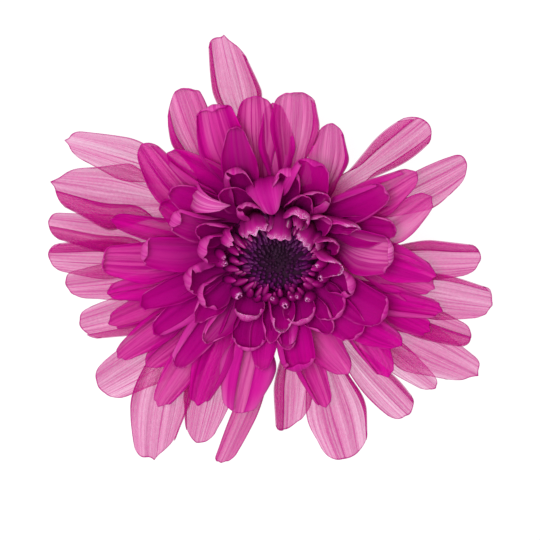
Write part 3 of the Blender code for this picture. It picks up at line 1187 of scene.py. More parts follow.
@dataclass
class RayRing:
    """One ring of ray florets, which becomes one piece.

    depth is 0 for the outermost ring and 1 for the innermost. pleat, ruffle and notch are the
    usual depth of a blade's ridges, wavy margins and teeth. Every curl is multiplied by lip and
    every width by broader. A root is claw_share of its blade's width but at least claw_width, a
    floret with a curl of its own curls over at least short_curl, and variety is how far its cups
    stray, in degrees. along, across, fan and thickness are as a Blade has them.
    """

    name: str
    bearing: Bearing
    florets: list[Floret]
    depth: float
    veil: Veil
    along: int = 30
    across: int = 14
    pleat: float = 0.16 * MM
    ruffle: float = 0.3 * MM
    notch: float = 0.3 * MM
    lip: float = 1.3
    claw_width: float = 2.4 * MM
    claw_share: float = 0.42
    broader: float = 1.12
    short_curl: float = 3.0 * MM
    variety: float = 8.0
    fan: float = 0.56
    thickness: float = 0.28 * MM

    def build(self, materials: list[bpy.types.Material]) -> bpy.types.Object:
        """Makes the ring.

        Args:
            materials: the blade's inside and outside.

        Returns:
            The ring as one object.
        """
        draw = random.Random(self.name)
        skin = Skin()
        for count, floret in enumerate(sorted(self.florets)):
            blade = self.blade(floret, count, draw)
            depth = self.depth + draw.uniform(-0.08, 0.08)
            values = {
                "depth": min(max(depth, 0.0), 1.0),
                "seed": draw.random(),
                "frost": floret.frost,
                "pale": floret.pale,
                "stripe_at": floret.stripe[0],
                "stripe_wide": floret.stripe[1],
            }
            blade.add_to(skin, values, self.veil.thicker(floret.body))
        return skin.to_object(self.name, materials)

    def spine(self, floret: Floret, count: int) -> Spine:
        """One floret's middle line.

        Args:
            floret: its row in the table.
            count: its number round the ring, which staggers its root.

        Returns:
            The line.
        """
        bearing = self.bearing
        curl_length = max(bearing.curl_length * MM, self.short_curl if floret.curl else 0.0)
        if floret.roll:
            curl_length = floret.roll * MM
        return Spine(
            root_radius=bearing.root_radius * MM,
            root_height=(bearing.root_height + bearing.stagger * (count % 2 - 0.5)) * MM,
            azimuth=floret.azimuth,
            reach=floret.reach * MM,
            height=floret.height * MM,
            lean=floret.lean,
            root_rise=bearing.root_rise,
            tip_rise=bearing.tip_rise + floret.rise,
            curl=(bearing.curl + floret.curl) * self.lip,
            curl_length=curl_length,
            bow=floret.bow,
        )

    def blade(self, floret: Floret, count: int, draw: random.Random) -> Blade:
        """One floret's blade.

        Args:
            floret: its row in the table.
            count: its number round the ring.
            draw: random numbers.

        Returns:
            The blade.
        """
        bearing = self.bearing
        width = floret.width * MM * self.broader
        cup_shift = draw.uniform(-self.variety, self.variety) + floret.cup
        return Blade(
            self.spine(floret, count),
            width,
            (bearing.root_cup, bearing.mid_cup + cup_shift, bearing.tip_cup + cup_shift),
            self.along,
            self.across,
            max(self.claw_share, self.claw_width / width),
            point=floret.point,
            folds=(floret.fold_left, floret.fold_right),
            band=floret.band,
            twist=floret.twist,
            thickness=self.thickness,
            pleat=self.pleat * draw.uniform(0.6, 1.3),
            ruffle=self.ruffle * draw.uniform(0.4, 1.2),
            notch=self.notch * draw.uniform(0.2, 1.4),
            phase=draw.uniform(0.0, 6.28),
            skew=floret.skew + draw.uniform(-0.14, 0.14),
            apex=floret.apex * MM,
            fan=floret.fan or self.fan,
        )


def turned_faces(rings: int, sides: int, upward: bool) -> list[Corners]:
    """The faces of a closed body made of rings of points, with one point at either end.

    Args:
        rings: how many rings it has.
        sides: how many points a ring has.
        upward: whether its points run from its foot up, and not from its top down.

    Returns:
        The faces, by the numbers of their points.
    """
    last = rings * sides + 1
    faces: list[Corners] = []
    for step in range(sides):
        after = (step + 1) % sides
        faces.append((0, 1 + step, 1 + after))
        faces.append((last, last - sides + after, last - sides + step))
        for ring in range(rings - 1):
            a = 1 + ring * sides
            faces.append((a + step, a + sides + step, a + sides + after, a + after))
    if upward:
        return [(face[0], *face[:0:-1]) for face in faces]
    return faces


@dataclass
class Turned:
    """A body turned about the head's axis from an outline of radius and height in mm.

    The outline runs from the top down and both its ends are on the axis.
    """

    name: str
    outline: list[Station]
    sides: int = 64
    values: dict[str, float] = field(default_factory=dict)

    def build(self, material: bpy.types.Material) -> bpy.types.Object:
        """Makes the body.

        Args:
            material: its finish.

        Returns:
            The object.
        """
        inner = self.outline[1:-1]
        points = [(0.0, 0.0, self.outline[0][1] * MM)]
        for radius, height in inner:
            for step in range(self.sides):
                place = polar(radius * MM, 360.0 * step / self.sides, height * MM)
                points.append((place.x, place.y, place.z))
        points.append((0.0, 0.0, self.outline[-1][1] * MM))
        faces = turned_faces(len(inner), self.sides, upward=False)
        values = {name: np.full(len(points), value) for name, value in self.values.items()}
        skin = Skin()
        skin.add(np.array(points), faces, [0] * len(faces), values)
        return skin.to_object(self.name, [material])


@dataclass(frozen=True)
class Bud:
    """One closed bud, or one with a small toothed mouth. Lengths are in mm.

    radius and height are its middle's, lean is how far its tip leans in towards the axis and
    swing how far to one side, in degrees, size its greatest radius, length half its height, mouth
    how wide its mouth is, from 0 for none to 1, depth 1 in the disc's middle and 0 at its rim, and
    frost how frosted its tip is. rows and columns are how many faces it has each way, and heavy
    how much stouter it is at its foot than at its tip. throat is the inside of a mouth: shares of
    its girth, each with how far down it is, as a share of length.
    """

    azimuth: float
    radius: float
    height: float
    lean: float
    size: float
    length: float
    mouth: float = 0.0
    frost: float = 0.0
    depth: float = 0.0
    swing: float = 0.0
    rows: int = 9
    columns: int = 16
    heavy: float = 0.38
    throat: tuple[Station, ...] = ((0.75, 0.02), (0.55, 0.35), (0.0, 0.5))

    def outline(self) -> list[Station]:
        """The bud's outline. A mouth stops it short of its tip and turns it in.

        Returns:
            The girth and height of each row of points, as shares, from the foot to the tip.
        """
        cut_short = 0.16
        top = math.pi * (1.0 - cut_short * self.mouth)
        angles = [top * row / self.rows for row in range(self.rows + 1)]
        outline = [(math.sin(a) * (1.0 + self.heavy * math.cos(a)), -math.cos(a)) for a in angles]
        if not self.mouth:
            return outline
        girth, height = outline[-1]
        return outline + [(share * girth, height - down) for share, down in self.throat]

    def stand(self, turn: float) -> Matrix:
        """Where the bud stands and how it leans.

        Args:
            turn: how far it is turned about its own length, in degrees.

        Returns:
            The way from its own middle to its place in the head.
        """
        return (
            Matrix.Translation(polar(self.radius * MM, self.azimuth, self.height * MM))
            @ Matrix.Rotation(math.radians(self.azimuth + self.swing), 4, "Z")
            @ Matrix.Rotation(math.radians(-self.lean), 4, "Y")
            @ Matrix.Rotation(math.radians(turn), 4, "Z")
        )

    def add_to(self, skin: Skin, draw: random.Random) -> None:
        """Adds the bud to a skin, lobed towards its tip and with its mouth pinched.

        Args:
            skin: what it becomes part of.
            draw: random numbers.
        """
        lobes = 3 if self.mouth else 5
        lobe_girth, lobe_height, pinch = 0.1, 0.22, 0.45
        throat_colour, throat_end_colour = 0.3, 0.1
        place = self.stand(draw.uniform(0.0, 72.0))
        phase = draw.uniform(0.0, 6.28)
        outline = self.outline()
        points = [place @ Vector((0.0, 0.0, outline[0][1] * self.length * MM))]
        along = [0.0]
        for row, (girth, height) in enumerate(outline[1:-1], 1):
            late = (row / (len(outline) - 1)) ** 3
            climbed = 0.5 - 0.5 * math.cos(math.pi * row / self.rows)
            for column in range(self.columns):
                turn = 2.0 * math.pi * column / self.columns
                lobe = math.cos(lobes * turn + phase) * late
                pinched = 1.0 + self.mouth * late * pinch * math.cos(2.0 * turn + phase)
                radius = self.size * girth * (1.0 + lobe_girth * lobe) * pinched * MM
                tall = (height + lobe_height * self.mouth * lobe) * self.length * MM
                spot = Vector((radius * math.cos(turn), radius * math.sin(turn), tall))
                points.append(place @ spot)
                along.append(climbed if row <= self.rows else throat_colour)
        points.append(place @ Vector((0.0, 0.0, outline[-1][1] * self.length * MM)))
        along.append(throat_end_colour if self.mouth else 1.0)
        faces = turned_faces(len(outline) - 2, self.columns, upward=True)
        values = {
            "along": np.array(along),
            "depth": np.full(len(points), self.depth),
            "frost": np.full(len(points), self.frost),
            "seed": np.full(len(points), draw.random()),
        }
        skin.add(np.array([tuple(point) for point in points]), faces, [0] * len(faces), values)


@dataclass
class RayFlorets:
    """The rings of ray florets, those that are still in bud, and the core that they grow from."""

    rings: list[RayRing]
    young: list[Bud]
    core_outline: list[Station]

    def build(
        self,
        blade: list[bpy.types.Material],
        bud: bpy.types.Material,
        heart: bpy.types.Material,
    ) -> list[bpy.types.Object]:
        """Makes the pieces.

        Args:
            blade: the finish of the inside and of the outside of a blade.
            bud: the finish of the florets that are still in bud.
            heart: the core's finish.

        Returns:
            One object for each ring, the core and the young florets.
        """
        pieces = [ring.build(blade) for ring in self.rings]
        pieces.append(Turned("core", self.core_outline).build(heart))
        pieces.append(self._young(bud))
        return pieces

    def _young(self, material: bpy.types.Material) -> bpy.types.Object:
        """The florets that are still in bud.

        Args:
            material: their finish.

        Returns:
            One object.
        """
        draw = random.Random("young")
        skin = Skin()
        for bud in self.young:
            bud.add_to(skin, draw)
        return skin.to_object("rays_young", [material])


@dataclass
class Disc:
    """The disc: a dimpled cushion packed with buds, small in the middle and long at the rim.

    Lengths are in mm and angles in degrees. rim is the height of its crest, which is at crest of
    its radius, and dimple that of its middle. The buds fill bud_field, evenly with a crowding
    of 0.5 and closer in the middle with a higher one. From the middle to the rim their radius
    grows from bud_size by bud_growth, their lean from bud_lean by bud_splay, and their half
    length, in radii, from bud_length by bud_stretch. Of the rim's two rows, the second is
    rim_step further out and rim_lift higher, and rim_tilt is how much less both lean in on the
    +Y side. The cushion lies sink below the disc's own height.
    """

    radius: float = 8.3
    rim: float = 17.3
    dimple: float = 15.4
    crest: float = 0.78
    edge_drop: float = 1.5
    buds: int = 190
    bud_field: float = 7.4
    crowding: float = 0.6
    bud_size: float = 0.32
    bud_growth: float = 0.16
    bud_lean: float = 8.0
    bud_splay: float = 40.0
    bud_length: float = 1.7
    bud_stretch: float = 1.1
    bud_sink: float = 0.1
    rim_buds: int = 34
    rim_radius: float = 7.5
    rim_step: float = 0.9
    rim_height: float = 16.9
    rim_lift: float = 0.6
    rim_lean: float = 58.0
    rim_tilt: float = 22.0
    sink: float = 0.5
    floor: float = 13.3
    cushion_radius: float = 7.6
    cushion_steps: int = 16

    def build(
        self, cushion: bpy.types.Material, bud: bpy.types.Material
    ) -> list[bpy.types.Object]:
        """Makes the cushion and its buds.

        Args:
            cushion: the cushion's finish.
            bud: the buds' finish.

        Returns:
            The two objects.
        """
        draw = random.Random("buds")
        skin = Skin()
        self._add_field(skin, draw)
        self._add_rim(skin, draw)
        return [self._cushion(cushion), skin.to_object("disc_buds", [bud])]

    def height(self, radius: float) -> float:
        """The disc's own height.

        Args:
            radius: how far from the axis, in mm.

        Returns:
            The height there, in mm.
        """
        share = radius / self.radius
        if share < self.crest:
            return ease(self.dimple, self.rim, share / self.crest)
        past = (share - self.crest) / (1.0 - self.crest)
        return ease(self.rim, self.rim - self.edge_drop, past)

    def _cushion(self, material: bpy.types.Material) -> bpy.types.Object:
        """The body under the buds.

        Args:
            material: its finish.

        Returns:
            The object.
        """
        steps = self.cushion_steps
        radii = [self.cushion_radius * step / steps for step in range(steps + 1)]
        outline = [(radius, self.height(radius) - self.sink) for radius in radii]
        outline += [(self.cushion_radius, self.floor), (0.0, self.floor)]
        return Turned("disc_cushion", outline, values={"depth": 1.0}).build(material)

    def _add_field(self, skin: Skin, draw: random.Random) -> None:
        """Adds the buds that fill the disc, in a spiral by the golden angle.

        Args:
            skin: what they become part of.
            draw: random numbers.
        """
        for count in range(self.buds):
            share = ((count + 0.5) / self.buds) ** self.crowding
            radius = self.bud_field * share + draw.uniform(-0.2, 0.2)
            size = (self.bud_size + self.bud_growth * share**2) * draw.uniform(0.8, 1.25)
            stretch = self.bud_length + self.bud_stretch * share**2
            splay = self.bud_splay * share**1.3
            Bud(
                azimuth=count * GOLDEN_ANGLE + draw.uniform(-5.0, 5.0),
                radius=radius,
                height=self.height(radius) - self.bud_sink,
                lean=self.bud_lean + splay + draw.uniform(-18.0, 18.0),
                size=size,
                length=size * stretch * draw.uniform(0.8, 1.3),
                depth=1.0 - 0.8 * share,
            ).add_to(skin, draw)

    def _add_rim(self, skin: Skin, draw: random.Random) -> None:
        """Adds two staggered rows of longer buds at the rim, which lean in less on the +Y side.

        Args:
            skin: what they become part of.
            draw: random numbers.
        """
        for count in range(self.rim_buds):
            azimuth = 360.0 * count / self.rim_buds + draw.uniform(-5.0, 5.0)
            size = draw.uniform(0.5, 0.68)
            second = count % 2
            tilt = self.rim_tilt * math.sin(math.radians(azimuth))
            Bud(
                azimuth=azimuth,
                radius=self.rim_radius + self.rim_step * second + draw.uniform(-0.3, 0.4),
                height=self.rim_height + self.rim_lift * second + draw.uniform(-0.3, 0.5),
                lean=self.rim_lean - tilt + draw.uniform(-14.0, 14.0),
                size=size,
                length=size * draw.uniform(2.0, 3.0),
            ).add_to(skin, draw)


@dataclass(frozen=True)
class BractRow:
    """One row of bracts. root and tip are a radius and a height in mm, and turn is in degrees."""

    count: int
    root: Station
    tip: Station
    width: float
    turn: float


@dataclass
class Calyx:
    """The underside: the cut stalk, its flare and three rows of overlapping bracts."""

    rows: tuple[BractRow, ...] = (
        BractRow(10, (4.3, 1.1), (8.6, 2.3), 4.2, 9.0),
        BractRow(12, (5.7, 2.3), (11.4, 4.0), 4.6, 1.0),
        BractRow(14, (7.5, 3.8), (14.0, 5.9), 4.8, 5.0),
    )
    outline: tuple[Station, ...] = (
        (0.0, 5.6),
        (9.0, 5.6),
        (9.2, 5.3),
        (9.0, 4.6),
        (7.4, 3.2),
        (5.9, 2.35),
        (5.0, 1.7),
        (4.6, 1.1),
        (4.45, 0.5),
        (4.45, 0.06),
        (4.35, 0.0),
        (0.0, 0.0),
    )
    cups: tuple[float, float, float] = (8.0, 9.0, 8.0)
    claw: float = 0.8
    point: float = 0.9
    thickness: float = 0.45 * MM
    ruffle: float = 0.08 * MM
    along: int = 12
    across: int = 8

    def build(
        self, flesh: bpy.types.Material, bract: bpy.types.Material
    ) -> list[bpy.types.Object]:
        """Makes the stalk with its flare, and the bracts.

        Args:
            flesh: the stalk's finish.
            bract: the bracts' finish.

        Returns:
            The two objects.
        """
        draw = random.Random("bracts")
        skin = Skin()
        for row in self.rows:
            for step in range(row.count):
                azimuth = row.turn + 360.0 * step / row.count + draw.uniform(-2.0, 2.0)
                blade = self._bract(row, azimuth, draw)
                blade.add_to(skin, {"seed": draw.random()}, Veil(1.0, 1.0))
        stalk = Turned("stalk", list(self.outline)).build(flesh)
        return [stalk, skin.to_object("bracts", [bract, bract])]

    def _bract(self, row: BractRow, azimuth: float, draw: random.Random) -> Blade:
        """One bract.

        Args:
            row: the row that it is in.
            azimuth: where it points, in degrees.
            draw: random numbers.

        Returns:
            Its blade.
        """
        rise = math.degrees(math.atan2(row.tip[1] - row.root[1], row.tip[0] - row.root[0]))
        spine = Spine(
            root_radius=row.root[0] * MM,
            root_height=row.root[1] * MM,
            azimuth=azimuth,
            reach=(row.tip[0] + draw.uniform(-0.4, 0.2)) * MM,
            height=(row.tip[1] + draw.uniform(-0.1, 0.1)) * MM,
            lean=0.0,
            root_rise=rise,
            tip_rise=rise,
            curl=0.0,
            curl_length=0.0,
        )
        return Blade(
            spine,
            row.width * MM,
            self.cups,
            self.along,
            self.across,
            self.claw,
            point=self.point,
            thickness=self.thickness,
            ruffle=self.ruffle,
            phase=draw.uniform(0.0, 6.28),
        )


@dataclass
class Studio:
    """A pale floor, soft light from all round and above, and a camera that looks down on the head.

    Lengths are in metres. The camera looks at target from distance away, tilted from the axis by
    tilt degrees towards +Y, with a lens that gives pixels_per_metre on a picture frame_pixels wide.
    """

    target: Vector = field(default_factory=lambda: Vector((-1.417, -4.525, 13.0)) * MM)
    distance: float = 0.7
    tilt: float = 25.0
    pixels_per_metre: float = 4940.0
    frame_pixels: float = 540.0
    sensor: float = 36.0
    floor_half: float = 0.7
    floor_glow: float = 0.94
    surround: float = 0.77
    lamp_size: float = 0.5
    lamp_power: float = 9.5
    lamp_place: tuple[float, float, float] = (-0.22, 0.4, 0.9)
    lamp_aim: tuple[float, float, float] = (0.0, 0.0, 0.012)

    def build(self) -> None:
        """Makes the floor, the lights and the camera."""
        self._floor()
        self._world()
        self._lights()
        self._camera()

    def _floor(self) -> None:
        """A pale floor lit evenly, as a light table is."""
        half = self.floor_half
        mesh = bpy.data.meshes.new("floor")
        corners = [(-half, -half, 0.0), (half, -half, 0.0), (half, half, 0.0), (-half, half, 0.0)]
        mesh.from_pydata(corners, [], [(0, 1, 2, 3)])
        floor = bpy.data.objects.new("floor", mesh)
        bpy.context.scene.collection.objects.link(floor)
        material, graph = Graph.of_material("floor_pale")
        surface = graph.node(
            "ShaderNodeBsdfPrincipled",
            sockets={
                "Base Color": (0.1, 0.1, 0.1, 1.0),
                "Roughness": 1.0,
                "Specular IOR Level": 0.0,
                "Emission Color": (1.0, 1.0, 1.0, 1.0),
                "Emission Strength": self.floor_glow,
            },
        )
        graph.finish(surface)
        mesh.materials.append(material)

    def _world(self) -> None:
        """Soft white light from everywhere."""
        world = bpy.data.worlds.new("soft_light")
        world.use_nodes = True
        background = world.node_tree.nodes["Background"]
        background.inputs["Color"].default_value = (1.0, 1.0, 1.0, 1.0)
        background.inputs["Strength"].default_value = self.surround
        bpy.context.scene.world = world

    def _lights(self) -> None:
        """One large soft lamp over the head, a little to the upper left of the picture."""
        lamp = bpy.data.lights.new("key", "AREA")
        lamp.shape = "DISK"
        lamp.size = self.lamp_size
        lamp.energy = self.lamp_power
        holder = bpy.data.objects.new("key", lamp)
        holder.location = self.lamp_place
        aim = Vector(self.lamp_aim) - holder.location
        holder.rotation_euler = aim.to_track_quat("-Z", "Y").to_euler()
        bpy.context.scene.collection.objects.link(holder)

    def _camera(self) -> None:
        """A long lens over the +Y side of the head, with that side at the top of the picture."""
        angle = math.radians(self.tilt)
        back = Vector((0.0, math.sin(angle), math.cos(angle)))
        up = Vector((0.0, math.cos(angle), -math.sin(angle)))
        right = up.cross(back)
        lens = bpy.data.cameras.new("camera")
        lens.sensor_width = self.sensor
        lens.lens = self.sensor * self.distance * self.pixels_per_metre / self.frame_pixels
        lens.clip_start = 0.01
        camera = bpy.data.objects.new("camera", lens)
        turned = Matrix((right, up, back)).transposed().to_4x4()
        camera.matrix_world = Matrix.Translation(self.target + back * self.distance) @ turned
        bpy.context.scene.collection.objects.link(camera)
        bpy.context.scene.camera = camera
        bpy.context.scene.view_settings.view_transform = "Standard"
        bpy.context.scene.cycles.transparent_max_bounces = 40


OUTER = Bearing(
    root_radius=8.2, root_height=7.3, stagger=0.8, root_rise=10.0, tip_rise=6.0,
    root_cup=40.0, mid_cup=26.0, tip_cup=18.0, curl=0.0, curl_length=0.0,
)
SECOND = Bearing(
    root_radius=8.4, root_height=9.0, stagger=0.8, root_rise=26.0, tip_rise=4.0,
    root_cup=40.0, mid_cup=38.0, tip_cup=34.0, curl=25.0, curl_length=3.0,
)
THIRD = Bearing(
    root_radius=8.6, root_height=10.3, stagger=0.6, root_rise=42.0, tip_rise=12.0,
    root_cup=45.0, mid_cup=55.0, tip_cup=52.0, curl=60.0, curl_length=3.0,
)
INNER = Bearing(
    root_radius=8.9, root_height=11.3, stagger=0.5, root_rise=62.0, tip_rise=52.0,
    root_cup=50.0, mid_cup=84.0, tip_cup=80.0, curl=22.0, curl_length=3.0,
)
HOODED = Bearing(
    root_radius=9.1, root_height=12.0, stagger=0.5, root_rise=66.0, tip_rise=112.0,
    root_cup=50.0, mid_cup=66.0, tip_cup=50.0, curl=20.0, curl_length=2.0,
)

# A floret's row starts with its tip's azimuth, reach and height and its width, and a bud's with
# its middle's azimuth, radius and height, its lean, its own radius and half its length. All
# lengths in the rows and in the core's outline are in mm.
OUTER_FLORETS = [
    Floret(
        150.5, 48.6, 13.0, 9.2, lean=-22, point=0.3, apex=0.6, skew=-0.2, body=0.85,
        stripe=(0.1, 0.05),
    ),
    Floret(
        161, 47.9, 14.5, 15.0, lean=-10, point=0.3, apex=0.9, fold_left=165, band=0.5, body=0.9
    ),
    Floret(173, 46.5, 12.5, 8.4, lean=10, point=0.1, fold_left=160, band=0.55),
    Floret(
        183, 46.5, 11.0, 8.6, lean=14, point=0.0, fold_right=160, band=0.45, stripe=(0.3, 0.06)
    ),
    Floret(191, 43.8, 12.0, 8.8, lean=12, point=0.1, stripe=(0.2, 0.06)),
    Floret(204, 44.2, 11.0, 10.0, lean=20, point=0.1, fold_left=160, band=0.4),
    Floret(221, 48.7, 11.5, 11.6, lean=18, point=0.0, body=0.9, stripe=(0.5, 0.05)),
    Floret(
        242, 54.2, 13.5, 13.0, fan=0.85, lean=-34, point=0.2, apex=0.8, skew=-0.25, fold_left=130,
        band=0.25, bow=0.6,
    ),
    Floret(
        249.4, 47.6, 12.0, 10.8, lean=-18, fan=0.9, fold_right=150, band=0.3, body=0.95,
        stripe=(0.1, 0.06),
    ),
    Floret(
        256.8, 50.2, 13.5, 5.0, lean=24, point=0.0, skew=-0.4, body=1.35, twist=30,
        stripe=(0.2, 0.1),
    ),
    Floret(
        274, 41.4, 12.5, 8.8, point=-0.1, skew=-0.35, lean=15, fold_right=165, band=0.4, twist=-15
    ),
    Floret(
        287.6, 50.2, 12.5, 13.4, lean=6, fan=0.9, point=0.0, body=0.93, skew=-0.15, fold_left=165,
        band=0.2, stripe=(0.8, 0.2),
    ),
    Floret(
        305.6, 47.2, 11.0, 8.8, lean=-15, fan=1.0, point=0.0, body=0.85, skew=-0.1,
        stripe=(-0.12, 0.08), fold_left=150, band=0.3,
    ),
    Floret(315, 46.5, 10.0, 6.6, lean=-10, body=0.75),
    Floret(
        325, 50.6, 12.0, 11.6, lean=-20, point=0.3, apex=0.5, skew=0.2, body=0.85,
        stripe=(-0.3, 0.05),
    ),
    Floret(334, 44.2, 13.5, 7.6, point=0.1, lean=-16, fold_right=165, band=0.6),
    Floret(
        344.2, 45.4, 12.5, 10.0, lean=-16, point=0.0, curl=70, roll=1.2, fold_left=150, band=0.25
    ),
    Floret(357.6, 41.3, 13.5, 9.0, lean=-12, point=0.0, fold_left=165, band=0.42, body=1.1),
    Floret(27.2, 42.8, 14.0, 8.6, point=0.1, skew=0.3, lean=-15, body=0.9, stripe=(0.15, 0.05)),
    Floret(
        44.8, 41.4, 15.5, 10.8, point=0.0, fan=1.1, body=0.85, fold_left=148, fold_right=135,
        band=0.4,
    ),
    Floret(
        102.6, 47.9, 14.0, 9.8, lean=1, point=0.1, apex=0.7, skew=0.45, fold_left=160,
        fold_right=120, band=0.3,
    ),
]
SECOND_FLORETS = [
    Floret(138, 36.0, 17.0, 7.8, lean=25, fold_right=140, pale=0.35, stripe=(0.25, 0.2)),
    Floret(131, 31.5, 18.5, 7.0, lean=-15, fold_left=140, band=0.45, pale=-0.4),
    Floret(
        118.6, 42.0, 17.0, 10.8, lean=22, fan=1.05, curl=50, roll=2.5, point=0.1, skew=-0.4,
        fold_left=140, band=0.35, body=0.8, pale=0.45,
    ),
    Floret(
        110.5, 37.5, 19.0, 8.8, lean=12, point=0.0, curl=100, roll=3.2, body=1.3, pale=0.3,
        stripe=(-0.5, 0.7),
    ),
    Floret(
        97.5, 34.8, 17.0, 8.2, lean=8, point=0.0, fan=0.8, body=1.1, pale=0.8, stripe=(0.2, 0.08)
    ),
    Floret(91, 33.0, 16.5, 6.6, lean=-4, pale=0.4),
    Floret(
        84.0, 36.8, 18.0, 9.6, point=-0.1, fan=0.9, lean=-6, curl=30, fold_right=150, band=0.3,
        body=0.8, pale=0.7,
    ),
    Floret(
        68.4, 30.8, 17.0, 8.2, fan=0.85, pale=0.8, body=0.9, lean=-24, fold_right=120, band=0.3
    ),
    Floret(35, 33.0, 18.0, 8.4, fan=0.5, fold_left=100, pale=0.4),
    Floret(23, 33.0, 17.0, 7.6, lean=-25, body=0.8, pale=0.5),
    Floret(8, 22.5, 15.5, 7.0, pale=-0.4),
    Floret(153, 26.0, 16.5, 7.0, lean=10, curl=20, pale=-0.4),
    Floret(165, 33.5, 17.5, 5.6, lean=5, fold_left=100, pale=-0.4),
    Floret(181, 35.5, 16.5, 8.6, lean=8, point=0.1, curl=60, pale=0.2, stripe=(0.3, 0.2)),
    Floret(194, 34.5, 15.5, 6.2, lean=7, fold_right=130, pale=-0.3),
    Floret(205, 37.0, 13.5, 6.8, lean=4, fold_left=130, pale=-0.2),
    Floret(215, 39.0, 15.0, 6.2, lean=-4, pale=0.35),
    Floret(224, 36.0, 14.0, 6.8, lean=4, fold_right=130, body=0.95, pale=0.1),
    Floret(234, 41.2, 15.0, 6.8, lean=-6, pale=0.5, fold_left=120, band=0.3),
    Floret(243, 36.0, 17.0, 7.6, lean=-12, fold_left=120, pale=-0.4),
    Floret(
        257, 35.2, 16.0, 10.4, lean=-3, point=0.1, fold_left=150, fold_right=140, band=0.5,
        body=1.2, pale=0.7, stripe=(0.3, 0.1),
    ),
    Floret(286, 35.0, 15.0, 5.8, lean=-8, pale=0.25, fold_right=120),
    Floret(299, 28.5, 17.5, 7.8, lean=-12, pale=0.4, fold_left=120, band=0.3),
    Floret(311, 35.0, 15.0, 6.8, lean=20, fold_right=120, band=0.3, pale=-0.3),
    Floret(322, 31.0, 17.0, 6.6, lean=-15, fold_left=130, band=0.3, pale=-0.4),
    Floret(331, 35.0, 14.0, 7.0, pale=-0.4),
    Floret(339, 35.0, 15.0, 6.2, lean=-15, fold_right=130, pale=-0.2),
    Floret(347, 32.0, 14.5, 7.0, lean=8, pale=0.35),
    Floret(354, 31.5, 16.5, 7.2, lean=15, fold_left=150, band=0.35),
]
THIRD_FLORETS = [
    Floret(106, 31.5, 20.0, 6.4, lean=14, point=0.7, pale=0.1, stripe=(0.3, 0.3)),
    Floret(73, 25.6, 21.5, 8.6, fold_left=100, curl=60, point=0.0, pale=-0.9),
    Floret(
        38.5, 28.0, 21.5, 7.4, lean=4, point=0.2, cup=-5, fold_left=110, fold_right=90, band=0.34,
        curl=40, roll=2.0,
    ),
    Floret(19, 25.5, 19.5, 6.4, lean=12, cup=10, curl=20),
    Floret(8, 24.8, 20.5, 8.8, lean=6, point=-0.1, cup=8, pale=0.9, curl=62, roll=4.0),
    Floret(333, 26.0, 19.5, 7.8, lean=-3, point=0.0, curl=62, roll=4.0, pale=-0.3, skew=0.2),
    Floret(316, 24.5, 18.5, 6.8, curl=60, roll=3.8, point=0.1, pale=-0.2),
    Floret(198, 29.0, 19.0, 5.8, fold_left=40, pale=-0.6),
    Floret(173, 28.6, 20.0, 6.8, lean=5, point=0.1, curl=75, roll=3.6, pale=0.1),
    Floret(142, 27.0, 19.5, 6.2, lean=-6),
    Floret(152, 25.5, 21.0, 6.0, curl=95, roll=4.5, fold_right=60, pale=0.1),
    Floret(212, 29.5, 18.0, 5.8, lean=-4, fold_left=130, band=0.4, pale=-0.3),
    Floret(228, 31.0, 18.5, 5.8, lean=-7, fold_right=130),
    Floret(
        281, 25.8, 20.0, 7.0, point=0.0, curl=78, roll=6.0, fold_right=100, band=0.35, pale=-0.9
    ),
    Floret(262, 24.0, 18.5, 5.2, lean=-3),
]
